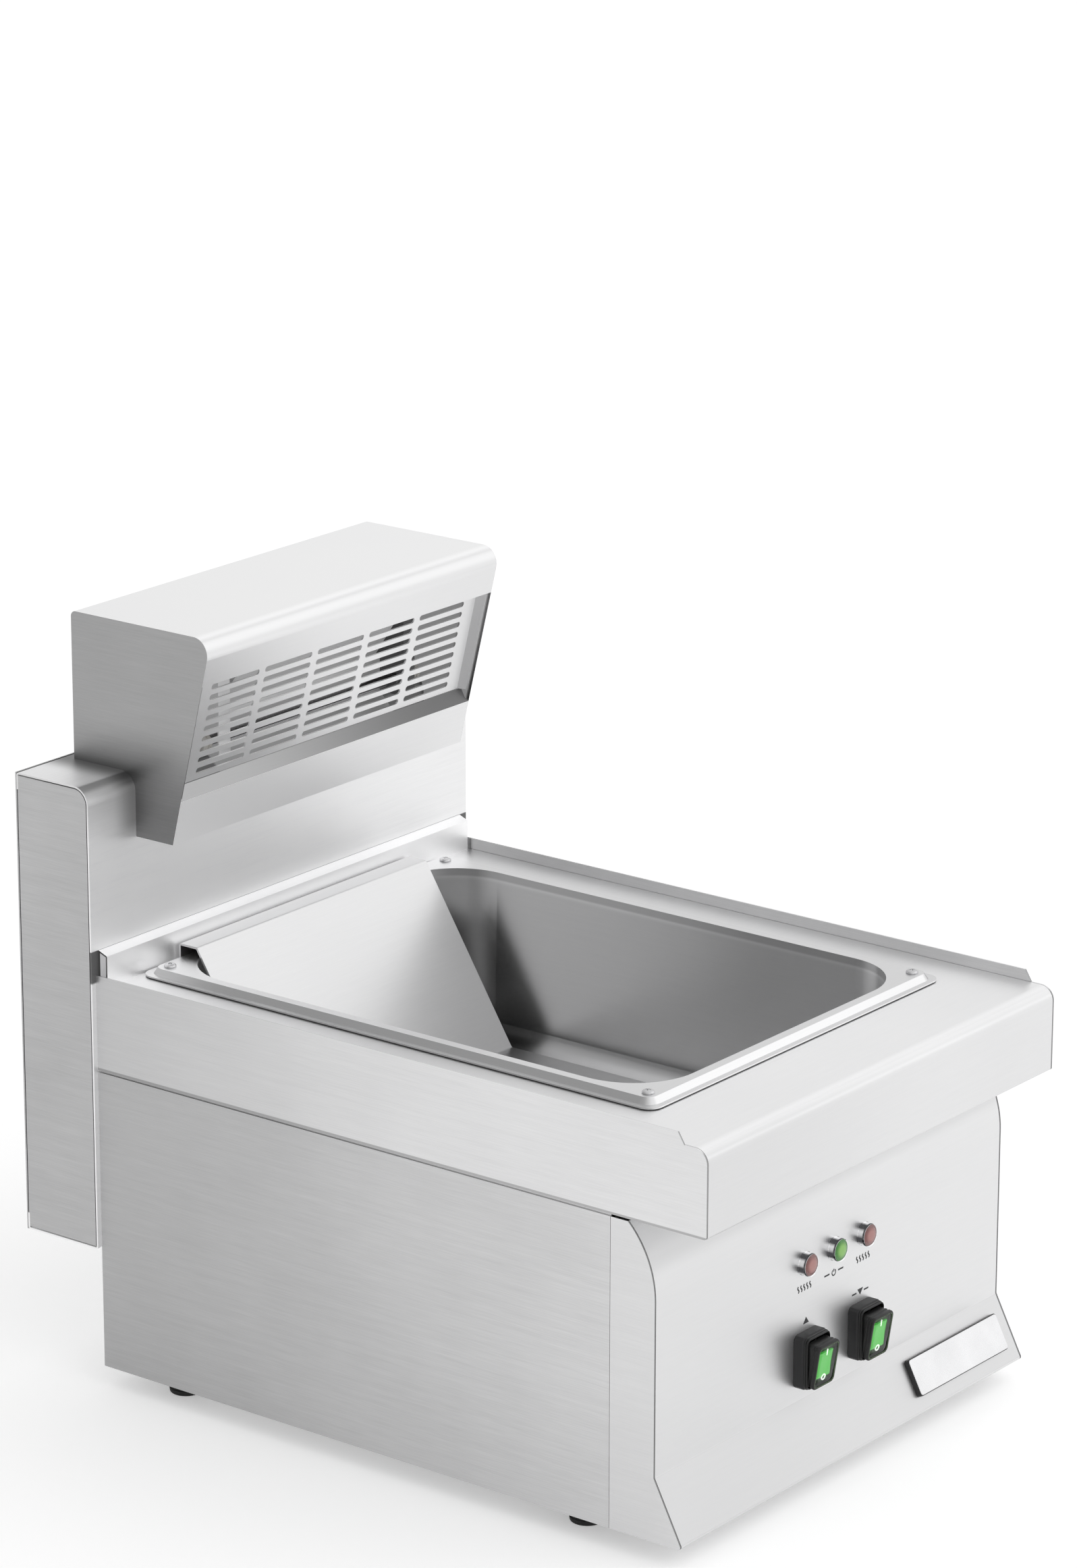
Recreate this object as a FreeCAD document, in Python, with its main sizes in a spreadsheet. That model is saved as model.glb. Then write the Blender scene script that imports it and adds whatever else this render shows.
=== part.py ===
import FreeCAD, Part
import math
import os
import re

import Sketcher

# Counter-top fry warmer: a sheet metal case on four rubber feet, a worktop with a drop-in
# basin, a slotted drainer insert hooked over the basin's rear rim, a housing up the back
# and a hood with a heat lamp on top of it.
# Millimetres. X runs to the right, Y runs to the back, Z runs up. The origin is on the
# ground under the middle of the machine's bounding box.

SIZES = {
    # whole machine
    "body_width": 400.0,
    "overall_depth": 582.4,
    "foot_height": 15.0,
    "case_height": 278.0,
    "sheet": 1.2,
    "seam_gap": 0.3,
    "fold_radius": 2.0,
    "cut_overrun": 5.0,
    # front of the case
    "face_setback": 40.0,
    "apron_run": 23.0,
    "apron_rise_share": 0.16,
    "curl_radius": 70.0,
    "curl_run": 21.8,
    "curl_rise": 21.1,
    "top_return": 12.0,
    "cheek_length": 35.5,
    "bottom_flange": 15.0,
    "tray_lip": 20.0,
    # worktop
    "skirt_height": 60.0,
    "skirt_shadow": 1.7,
    "joggle_height": 18.0,
    "worktop_round": 10.0,
    "worktop_return": 62.0,
    "rear_flange": 22.0,
    "rim_rise": 8.0,
    "rim_setback": 18.0,
    "rim_slope": 5.0,
    # upstand in front of the housing
    "upstand_depth": 7.5,
    "upstand_height": 22.0,
    "upstand_slope": 3.0,
    "upstand_end_gap": 2.3,
    # rear housing
    "housing_overhang": 4.0,
    "housing_depth": 66.0,
    "housing_lift": 87.5,
    "backsplash_height": 141.0,
    "housing_round": 12.5,
    "cover_flange": 12.0,
    "cap_gap": 0.8,
    "cap_inset": 0.6,
    "cap_tab_length": 24.0,
    "cap_tab_depth": 12.0,
    "hanger_width": 12.0,
    "hanger_drop": 18.0,
    "wire_hole_radius": 9.0,
    "wire_hole_rise": 115.0,
    "duct_setback": 35.0,
    # hood
    "hood_inset": 44.0,
    "hood_rise": 105.0,
    "hood_drop": 45.0,
    "hood_rear_inset": 10.5,
    "hood_roof_depth": 125.5,
    "hood_slant_run": 37.0,
    "hood_front_round": 12.0,
    "hood_rear_round": 4.0,
    "hood_foot_flange": 14.0,
    "hood_side_inset": 1.0,
    "band_length": 35.0,
    "grille_recess": 7.5,
    "band_return": 12.0,
    "grille_length": 76.4,
    "ledge_length": 10.0,
    "apron_flange": 12.0,
    "grille_bend_inset": 4.8,
    "grille_bend_rise": 4.5,
    "vent_side_margin": 17.75,
    "vent_gap": 6.15,
    "vent_height": 4.1,
    "vent_end_radius": 1.9,
    "vent_columns": 5,
    "vent_row_pitch": 7.94,
    "vent_rows": 9,
    "vent_first_drop": 6.0,
    # heat lamp in the hood
    "lamp_tube_radius": 4.5,
    "lamp_tube_inset": 48.0,
    "lamp_tube_setback": 22.0,
    "lamp_tube_rise": 15.0,
    "lamp_tube_clearance": 0.3,
    "lamp_end_radius": 6.5,
    "lamp_end_length": 9.0,
    "reflector_inset": 62.2,
    "reflector_wing_step": 9.8,
    "reflector_back_gap": 12.0,
    "reflector_half_mouth": 12.0,
    "reflector_top_run": 34.0,
    "reflector_top_rise": 50.0,
    "reflector_low_run": 20.0,
    "reflector_low_drop": 20.0,
    "bracket_front_gap": 10.0,
    "bracket_depth": 30.0,
    "bracket_foot_drop": 12.0,
    "bracket_face_width": 12.0,
    "bracket_face_height": 56.0,
    # basin
    "basin_side_margin": 48.5,
    "basin_front_margin": 82.5,
    "basin_rear_margin": 22.8,
    "basin_corner": 48.0,
    "basin_depth": 132.0,
    "basin_draft": 1.5,
    "basin_gauge": 1.0,
    "basin_floor_radius": 20.0,
    "rim_land": 7.0,
    "rim_slope_run": 3.0,
    "rim_slope_drop": 4.3,
    "rim_lip": 4.0,
    "rim_corner": 10.0,
    "rim_stand": 6.0,
    "cutout_clearance": 2.5,
    "seal_inset": 2.0,
    "seal_width": 5.0,
    "rim_screw_inset_x": 1.1,
    "rim_screw_inset_y": 0.7,
    # screws
    "screw_head_radius": 4.25,
    "screw_head_height": 2.4,
    "screw_radius": 2.0,
    "screw_length": 12.0,
    "screw_clearance": 0.2,
    "cover_screw_inset": 7.0,
    # heating pad element under the basin
    "element_radius": 4.0,
    "element_gap": 0.3,
    "element_inset": 56.5,
    "element_end_inset": 54.35,
    "element_bend": 25.0,
    "element_tail": 20.0,
    "pin_radius": 1.6,
    "pin_length": 10.0,
    "clamp_inset": 26.5,
    "clamp_depth": 18.0,
    "clamp_offset": 60.0,
    "stud_inset": 10.0,
    "stud_length": 16.0,
    "nut_radius": 3.6,
    "nut_height": 3.0,
    "thermostat_radius": 12.0,
    # drainer insert
    "insert_side_gap": 26.5,
    "insert_gauge": 1.5,
    "insert_rear_gap": 3.0,
    "insert_lip_margin": 0.5,
    "insert_hook_rise": 7.3,
    "insert_stand": 13.7,
    "insert_back_run": 78.6,
    "insert_front_gap": 0.5,
    "insert_bevel_x": 30.0,
    "insert_bevel_y": 35.4,
    "drain_width": 3.6,
    "drain_side_margin": 20.6,
    "drain_columns": 10,
    "drain_end_margin": 36.3,
    "drain_rows": 8,
    "drain_row_gap": 13.3,
    "drain_first_gap": 5.5,
    "drain_end_radius": 1.7,
    "finger_hole_radius": 8.5,
    "finger_hole_inset": 16.0,
    # pilot lamps
    "pilot_pitch": 34.0,
    "pilot_height_share": 0.7932,
    "bezel_radius": 8.25,
    "bezel_wall": 1.25,
    "bezel_height": 6.0,
    "lens_gap": 0.1,
    "lens_crown": 1.0,
    "lens_edge": 1.4,
    "pilot_body_radius": 5.5,
    "pilot_body_length": 28.0,
    "pilot_hole_gap": 0.25,
    "pilot_nut_radius": 8.0,
    "pilot_nut_height": 4.0,
    # rocker switches
    "switch_offset": 31.5,
    "switch_height_share": 0.2397,
    "switch_width": 28.0,
    "switch_height": 38.0,
    "switch_plinth": 8.0,
    "switch_bevel": 2.0,
    "boot_width": 24.3,
    "boot_height": 32.0,
    "boot_reach": 17.5,
    "boot_start": 7.0,
    "boot_wall": 1.2,
    "boot_round": 3.0,
    "boot_gap": 0.5,
    "boot_gap_tall": 1.0,
    "collar_height": 3.0,
    "collar_margin": 0.4,
    "rocker_axis_reach": 6.0,
    "rocker_tilt": 9.0,
    "rocker_width": 14.4,
    "rocker_height": 18.5,
    "rocker_gap": 0.3,
    "rocker_hub": 5.0,
    "rocker_back": 2.0,
    "switch_body_width": 21.6,
    "switch_body_height": 29.6,
    "switch_body_depth": 24.0,
    "switch_hole_gap": 0.2,
    # name plate
    "plate_inset": 14.0,
    "plate_width": 108.0,
    "plate_height": 26.5,
    "plate_drop": 11.2,
    "plate_thickness": 4.0,
    "plate_corner": 1.0,
    # feet
    "foot_side_inset": 28.5,
    "foot_front_setback": 115.0,
    "foot_rear_setback": 50.0,
    "foot_radius": 13.0,
    "foot_base_radius": 11.5,
    "foot_edge_radius": 1.5,
    "foot_well_radius": 6.0,
    "foot_well_depth": 9.0,
    "foot_screw_rise": 8.0,
    # wiring and cable entry
    "terminal_width": 60.0,
    "terminal_depth": 25.0,
    "terminal_height": 22.0,
    "terminal_setback": 97.0,
    "terminal_notch": 4.0,
    "terminal_ways": 6,
    "loom_radius": 3.0,
    "loom_lift": 8.0,
    "loom_bend": 18.0,
    "loom_front_gap": 60.0,
    "loom_front_rise": 128.0,
    "loom_tail_rise": 16.0,
    "gland_inset": 60.0,
    "gland_rise": 45.0,
    "gland_radius": 8.0,
    "gland_nut_radius": 12.0,
    "gland_nut_height": 6.0,
    "gland_reach": 22.0,
    "gland_bore": 4.0,
}

# Places worked out from the sizes above.
PLACES = {
    "half_body": "body_width / 2",
    "half_inside": "body_width / 2 - sheet",
    "half_front": "half_inside - seam_gap",
    "front_y": "-overall_depth / 2",
    "back_y": "overall_depth / 2",
    "cover_y": "back_y - screw_head_height",
    "housing_y": "cover_y - housing_depth",
    "face_y": "front_y + face_setback",
    "toe_y": "face_y - apron_run",
    "cheek_y": "face_y + cheek_length",
    "curl_y": "face_y + curl_run",
    "case_z": "foot_height",
    "apron_rise": "case_height * apron_rise_share",
    "kink_z": "case_z + apron_rise",
    "worktop_z": "case_z + case_height",
    "skirt_z": "worktop_z - skirt_height",
    "panel_top_z": "skirt_z - skirt_shadow",
    "curl_z": "panel_top_z - curl_rise",
    "curl_foot_z": "curl_z - curl_radius * tan(atan(curl_run / curl_rise) / 2)",
    "housing_z": "case_z + housing_lift",
    "housing_top_z": "worktop_z + backsplash_height",
    "half_housing": "half_body + housing_overhang",
    "wire_hole_z": "case_z + wire_hole_rise",
    "duct_y": "cover_y - duct_setback",
    "hood_top_z": "housing_top_z + hood_rise",
    "hood_tip_z": "housing_top_z - hood_drop",
    "hood_back_y": "cover_y - hood_rear_inset",
    "hood_roof_y": "hood_back_y - hood_roof_depth",
    "hood_tip_y": "hood_roof_y + hood_slant_run",
    "half_hood": "half_body - hood_inset",
    "slant_fall": "hood_rise + hood_drop",
    "slant_length": "sqrt(hood_slant_run ^ 2 + slant_fall ^ 2)",
    "slant_sin": "hood_slant_run / slant_length",
    "slant_cos": "slant_fall / slant_length",
    "band_y": "hood_roof_y + band_length * slant_sin",
    "band_z": "hood_top_z - band_length * slant_cos",
    "grille_y": "band_y + grille_recess",
    "grille_foot_y": "grille_y + grille_length * slant_sin",
    "grille_foot_z": "band_z - grille_length * slant_cos",
    "ledge_y": "hood_roof_y + (band_length + grille_length + ledge_length) * slant_sin",
    "ledge_z": "hood_top_z - (band_length + grille_length + ledge_length) * slant_cos",
    "hood_side_x": "half_hood - hood_side_inset",
    "slant_step": "sheet / slant_cos",
    "vent_column_pitch": "(2 * (hood_side_x - sheet - vent_side_margin) + vent_gap) / vent_columns",
    "vent_width": "vent_column_pitch - vent_gap",
    "lamp_tube_span": "2 * (half_hood - lamp_tube_inset)",
    "reflector_span": "2 * (half_hood - reflector_inset)",
    "reflector_wing_span": "reflector_span - 2 * reflector_wing_step",
    "lamp_y": "housing_y - lamp_tube_setback",
    "lamp_z": "housing_top_z + lamp_tube_rise",
    "reflector_y": "lamp_y + reflector_back_gap",
    "opening_front_y": "front_y + basin_front_margin",
    "opening_back_y": "housing_y - basin_rear_margin",
    "basin_y": "(opening_front_y + opening_back_y) / 2",
    "half_basin_x": "half_body - basin_side_margin",
    "half_basin_y": "(opening_back_y - opening_front_y) / 2",
    "land_z": "worktop_z + rim_stand",
    "lip_z": "land_z - rim_slope_drop",
    "floor_z": "land_z - basin_depth",
    "floor_under_z": "floor_z - basin_gauge",
    "land_grow": "rim_land",
    "slope_grow": "rim_land + rim_slope_run",
    "lip_grow": "rim_land + rim_slope_run + rim_lip",
    "rim_screw_x": "half_basin_x - rim_screw_inset_x",
    "rim_screw_y": "half_basin_y - rim_screw_inset_y",
    "element_half_width": "half_basin_x - element_inset",
    "element_half_length": "half_basin_y - element_end_inset",
    "element_z": "floor_under_z - element_gap - element_radius",
    "clamp_half_width": "half_basin_x - clamp_inset",
    "stud_offset": "clamp_half_width - stud_inset",
    "clamp_z": "element_z - element_radius - element_gap",
    "half_insert": "half_basin_x - insert_side_gap",
    "lip_back_y": "opening_back_y + lip_grow",
    "fold_y": "opening_back_y - insert_rear_gap",
    "hook_y": "lip_back_y - insert_lip_margin",
    "hook_z": "land_z + insert_hook_rise",
    "drain_z": "floor_z + insert_stand",
    "drain_back_y": "fold_y - insert_back_run",
    "fillet_rest": "basin_floor_radius - insert_stand + insert_gauge",
    "fillet_step": "basin_floor_radius - sqrt(basin_floor_radius ^ 2 - fillet_rest ^ 2)",
    "wall_step": "(land_z - drain_z + insert_gauge) * tan(basin_draft)",
    "drain_front_y": "opening_front_y + wall_step + fillet_step + insert_front_gap",
    "drain_column_pitch": "(2 * (half_insert - drain_side_margin) - drain_width) / (drain_columns - 1)",
    "drain_run": "drain_back_y - drain_front_y - drain_first_gap - drain_end_margin",
    "drain_length": "(drain_run - (drain_rows - 1) * drain_row_gap) / drain_rows",
    "drain_row_pitch": "drain_length + drain_row_gap",
    "pilot_z": "kink_z + pilot_height_share * (curl_foot_z - kink_z)",
    "switch_z": "kink_z + switch_height_share * (curl_foot_z - kink_z)",
    "rocker_y": "face_y - rocker_axis_reach",
    "foot_front_y": "front_y + foot_front_setback",
    "foot_back_y": "housing_y - foot_rear_setback",
    "foot_offset": "half_body - foot_side_inset",
    "plate_left": "half_body - plate_inset - plate_width",
    "tray_z": "case_z + sheet",
    "terminal_y": "housing_y - terminal_setback",
    "loom_z": "tray_z + loom_lift",
    "gland_offset": "half_body - gland_inset",
    "gland_z": "case_z + gland_rise",
}

doc = FreeCAD.newDocument("fry_warmer")
dims = doc.addObject("Spreadsheet::Sheet", "dims")
for row, (alias, size) in enumerate(SIZES.items(), start=1):
    dims.set(f"A{row}", alias)
    dims.set(f"B{row}", str(size))
    dims.setAlias(f"B{row}", alias)
doc.recompute()

SUB_PARTS = []
VECTOR = FreeCAD.Vector
ALONG = {"x": VECTOR(1, 0, 0), "y": VECTOR(0, 1, 0), "z": VECTOR(0, 0, 1)}

# A sketch drawn on a side plane reads as (Y, Z), on a front plane as (X, Z), flat as (X, Y).
FACING = {
    "side": FreeCAD.Rotation(VECTOR(1, 1, 1), 120),
    "front": FreeCAD.Rotation(VECTOR(1, 0, 0), 90),
    "flat": FreeCAD.Rotation(),
}
PLANE_AXIS = {"side": "x", "front": "y", "flat": "z"}
PLANE_ROLE = {"side": "YZ_Plane", "front": "XZ_Plane", "flat": "XY_Plane"}


def formula(text):
    """Turn the named sizes and places in a sum into references to the sheet."""
    def reference(word):
        name = word.group()
        if name in PLACES:
            return "(" + formula(PLACES[name]) + ")"
        if name in SIZES:
            return "dims." + name
        return name
    return re.sub(r"[a-z][a-z_]*[a-z]", reference, text)


def value(text):
    return float(dims.evalExpression(formula(text)))


def bind(thing, place, text):
    thing.setExpression(place, formula(text))


def sub_part(label, thing):
    thing.Label = label
    SUB_PARTS.append(thing)
    return thing


# Sketches

def apply_rules(sketch, rules):
    """Add constraints together and bind each one that has a size to it."""
    numbers = sketch.addConstraint([rule for rule, _ in rules])
    for number, (_, size) in zip(numbers, rules):
        if size is not None:
            bind(sketch, f"Constraints[{number}]", size)


def point_rules(geometry, end, u=None, v=None):
    return [(Sketcher.Constraint(kind, geometry, end, value(place)), place)
            for kind, place in (("DistanceX", u), ("DistanceY", v)) if place is not None]


def run_of(start, end):
    """Say which way a run between two corners goes."""
    if start[1] == end[1]:
        return "level"
    return "plumb" if start[0] == end[0] else "slanted"


def draw_outline(sketch, corners, closed=True):
    """Draw straight runs between corners; a corner with a third value is rounded."""
    count = len(corners)
    spots = [VECTOR(value(corner[0]), value(corner[1]), 0) for corner in corners]
    arrive = list(spots)
    leave = list(spots)
    middle = {}
    for index, corner in enumerate(corners):
        if len(corner) < 3:
            continue
        back = (spots[index - 1] - spots[index]).normalize()
        ahead = (spots[(index + 1) % count] - spots[index]).normalize()
        half = back.getAngle(ahead) / 2
        radius = value(corner[2])
        reach = radius / math.tan(half)
        inward = (back + ahead).normalize()
        arrive[index] = spots[index] + back * reach
        leave[index] = spots[index] + ahead * reach
        middle[index] = spots[index] + inward * (radius / math.sin(half) - radius)
    runs = []
    rules = []
    for index in range(count if closed else count - 1):
        following = (index + 1) % count
        line = sketch.addGeometry(Part.LineSegment(leave[index], arrive[following]), False)
        way = run_of(corners[index], corners[following])
        runs.append((line, way))
        if way == "level":
            rules.append((Sketcher.Constraint("Horizontal", line), None))
            rules += point_rules(line, 1, v=corners[index][1])
        if way == "plumb":
            rules.append((Sketcher.Constraint("Vertical", line), None))
            rules += point_rules(line, 1, u=corners[index][0])
    for index, corner in enumerate(corners):
        before = runs[index - 1] if closed or index > 0 else None
        after = runs[index] if index < len(runs) else None
        if index in middle:
            through = (arrive[index], middle[index], leave[index])
            rules += round_rules(sketch, corner, spots[index], before, after, through)
        else:
            rules += sharp_rules(corner, before, after)
    apply_rules(sketch, rules)


def sharp_rules(corner, before, after):
    rules = []
    if before and after:
        rules.append((Sketcher.Constraint("Coincident", before[0], 2, after[0], 1), None))
    ways = [run[1] for run in (before, after) if run]
    line, end = (after[0], 1) if after else (before[0], 2)
    u = None if "plumb" in ways else corner[0]
    v = None if "level" in ways else corner[1]
    return rules + point_rules(line, end, u, v)


def round_rules(sketch, corner, spot, before, after, through):
    """Add an arc between two runs; a slanted run is held by the point where the runs meet."""
    arc = sketch.addGeometry(Part.Arc(*through), False)
    start = sketch.getPoint(arc, 1)
    forward = start.distanceToPoint(through[0]) < start.distanceToPoint(through[2])
    first, last = (1, 2) if forward else (2, 1)
    rules = [
        (Sketcher.Constraint("Tangent", before[0], 2, arc, first), None),
        (Sketcher.Constraint("Tangent", arc, last, after[0], 1), None),
        (Sketcher.Constraint("Radius", arc, value(corner[2])), corner[2]),
    ]
    slanted = [line for line, way in (before, after) if way == "slanted"]
    if slanted:
        point = sketch.addGeometry(Part.Point(spot), True)
        rules += [(Sketcher.Constraint("PointOnObject", point, 1, line), None) for line in slanted]
        rules += point_rules(point, 1, corner[0], corner[1])
    return rules


def draw_circle(sketch, u, v, radius):
    centre = VECTOR(value(u), value(v), 0)
    ring = sketch.addGeometry(Part.Circle(centre, VECTOR(0, 0, 1), value(radius)), False)
    rules = point_rules(ring, 3, u, v)
    rules.append((Sketcher.Constraint("Radius", ring, value(radius)), radius))
    apply_rules(sketch, rules)


def free_sketch(label, plane, level, corners, closed=True, circles=()):
    sketch = doc.addObject("Sketcher::SketchObject", label)
    sketch.Placement = FreeCAD.Placement(VECTOR(), FACING[plane])
    bind(sketch, "Placement.Base." + PLANE_AXIS[plane], level)
    if corners:
        draw_outline(sketch, corners, closed)
    for circle in circles:
        draw_circle(sketch, *circle)
    return sketch


def body_sketch(body, label, plane, level, corners=(), circles=()):
    sketch = body.newObject("Sketcher::SketchObject", label)
    origin_plane = next(p for p in body.Origin.OriginFeatures if p.Role == PLANE_ROLE[plane])
    sketch.AttachmentSupport = [(origin_plane, "")]
    sketch.MapMode = "FlatFace"
    side = "-1 * " if plane == "front" else ""
    bind(sketch, "AttachmentOffset.Base.z", f"{side}({level})")
    if corners:
        draw_outline(sketch, corners)
    for circle in circles:
        draw_circle(sketch, *circle)
    return sketch


def rectangle(u_low, u_high, v_low, v_high, radius=None):
    corners = [(u_low, v_low), (u_high, v_low), (u_high, v_high), (u_low, v_high)]
    if radius is None:
        return corners
    return [corner + (radius,) for corner in corners]


# Solids

def extrude(label, profile, axis, length):
    solid = doc.addObject("Part::Extrusion", label)
    solid.Base = profile
    solid.DirMode = "Custom"
    solid.Dir = ALONG[axis]
    solid.Solid = True
    bind(solid, "LengthFwd", length)
    return solid


def slab(label, plane, low, high, corners, circles=()):
    """A flat piece between two levels."""
    sketch = free_sketch(label + "_outline", plane, low, corners, True, circles)
    return extrude(label, sketch, PLANE_AXIS[plane], f"({high}) - ({low})")


def folded(label, plane, low, high, corners, hand, gauge="sheet"):
    """A folded sheet: its outer face follows the corners, its metal lies on the given hand."""
    sketch = free_sketch(label + "_fold_line", plane, low, corners, False)
    section = doc.addObject("Part::Offset2D", label + "_section")
    section.Source = sketch
    section.Mode = "Skin"
    section.Join = "Intersection"
    section.Fill = True
    outward = (hand == "left") != (plane == "front")
    bind(section, "Value", f"{-1 if outward else 1} * ({gauge})")
    return extrude(label, section, PLANE_AXIS[plane], f"({high}) - ({low})")


def box(label, x, y, z):
    solid = doc.addObject("Part::Box", label)
    for size, axis, (low, high) in (("Length", "x", x), ("Width", "y", y), ("Height", "z", z)):
        bind(solid, size, f"({high}) - ({low})")
        bind(solid, "Placement.Base." + axis, low)
    return solid


def rod(label, radius, length, at, axis="z"):
    """A cylinder that starts at a point and runs along +x, +y or +z."""
    solid = doc.addObject("Part::Cylinder", label)
    bind(solid, "Radius", radius)
    bind(solid, "Height", length)
    solid.Placement = FreeCAD.Placement(VECTOR(), FreeCAD.Rotation(ALONG["z"], ALONG[axis]))
    for name, place in zip("xyz", at):
        bind(solid, "Placement.Base." + name, place)
    return solid


def turned(label, corners, at, axis="z"):
    """A turned piece: (radius, height) corners, spun about an axis through a point."""
    sketch = free_sketch(label + "_profile", "front", "0", corners)
    solid = doc.addObject("Part::Revolution", label)
    solid.Source = sketch
    solid.Axis = ALONG["z"]
    solid.Angle = 360
    solid.Solid = True
    facing = {"z": FreeCAD.Rotation(), "y": FreeCAD.Rotation(ALONG["x"], -90),
              "-y": FreeCAD.Rotation(ALONG["x"], 90)}
    solid.Placement = FreeCAD.Placement(VECTOR(), facing[axis])
    for name, place in zip("xyz", at):
        bind(solid, "Placement.Base." + name, place)
    return solid


def cut(label, base, *tools):
    solid = doc.addObject("Part::Cut", label)
    solid.Base = base
    solid.Tool = tools[0] if len(tools) == 1 else fuse(label + "_tools", *tools)
    return solid


def fuse(label, *pieces):
    solid = doc.addObject("Part::MultiFuse", label)
    solid.Shapes = list(pieces)
    return solid


def group(label, pieces):
    """Separate solids of one kind that share a node."""
    solid = doc.addObject("Part::Compound", label)
    solid.Links = list(pieces)
    return solid


def tube(label, plane, level, corners, radius):
    """A round bar along a flat path of runs and arcs that starts along its first run."""
    path = free_sketch(label + "_path", plane, level, corners, False)
    start = VECTOR(value(corners[0][0]), value(corners[0][1]), 0)
    ahead = VECTOR(value(corners[1][0]), value(corners[1][1]), 0) - start
    section = doc.addObject("Sketcher::SketchObject", label + "_round")
    draw_circle(section, "0", "0", radius)
    turn = FACING[plane].multiply(FreeCAD.Rotation(ALONG["z"], ahead))
    section.Placement = FreeCAD.Placement(VECTOR(), turn)
    names = {"side": "yz", "front": "xz", "flat": "xy"}[plane]
    bind(section, "Placement.Base." + names[0], corners[0][0])
    bind(section, "Placement.Base." + names[1], corners[0][1])
    bind(section, "Placement.Base." + PLANE_AXIS[plane], level)
    sweep = doc.addObject("Part::Sweep", label)
    sweep.Sections = [section]
    sweep.Spine = (path, [])
    sweep.Solid = True
    sweep.Frenet = False
    return sweep


def pad_body(label, plane, low, high, corners, circles=(), taper=None):
    """A PartDesign body whose first feature is a pad from the low level to the high one."""
    body = doc.addObject("PartDesign::Body", label)
    start = high if plane == "front" else low
    sketch = body_sketch(body, label + "_sketch", plane, start, corners, circles)
    pad = body.newObject("PartDesign::Pad", label + "_pad")
    pad.Profile = sketch
    bind(pad, "Length", f"({high}) - ({low})")
    if taper is not None:
        bind(pad, "TaperAngle", taper)
    doc.recompute()
    return body


def pocket(body, label, plane, level, corners=(), circles=()):
    sketch = body_sketch(body, label + "_sketch", plane, level, corners, circles)
    hollow = body.newObject("PartDesign::Pocket", label)
    hollow.Profile = sketch
    hollow.Type = "ThroughAll"
    before = body.Tip.Shape.Volume if body.Tip is not hollow else hollow.BaseFeature.Shape.Volume
    doc.recompute()
    if hollow.Shape.Volume >= before:
        raise RuntimeError(label + " removes nothing")
    return sketch, hollow


def grid_pattern(body, label, sketch, feature, columns, column_pitch, rows, row_pitch, down):
    grid = body.newObject("PartDesign::MultiTransform", label)
    grid.Originals = [feature]
    steps = []
    for name, axis, number, pitch in (("columns", "H_Axis", columns, column_pitch),
                                      ("rows", "V_Axis", rows, row_pitch)):
        step = body.newObject("PartDesign::LinearPattern", f"{label}_{name}")
        step.Direction = (sketch, [axis])
        bind(step, "Occurrences", number)
        bind(step, "Length", f"({pitch}) * ({number} - 1)")
        step.Reversed = name == "rows" and down
        steps.append(step)
    grid.Transformations = steps
    body.Tip = grid


def grown(level_grow, radius):
    """The basin's outline, grown by a margin all round."""
    return rectangle(f"-(half_basin_x + {level_grow})", f"half_basin_x + {level_grow}",
                     f"basin_y - half_basin_y - ({level_grow})",
                     f"basin_y + half_basin_y + {level_grow}", radius)


# Case

CASE_PROFILE = [
    ("toe_y", "case_z", "fold_radius"),
    ("face_y", "kink_z", "fold_radius"),
    ("face_y", "curl_z", "curl_radius"),
    ("curl_y", "panel_top_z"),
]


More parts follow.
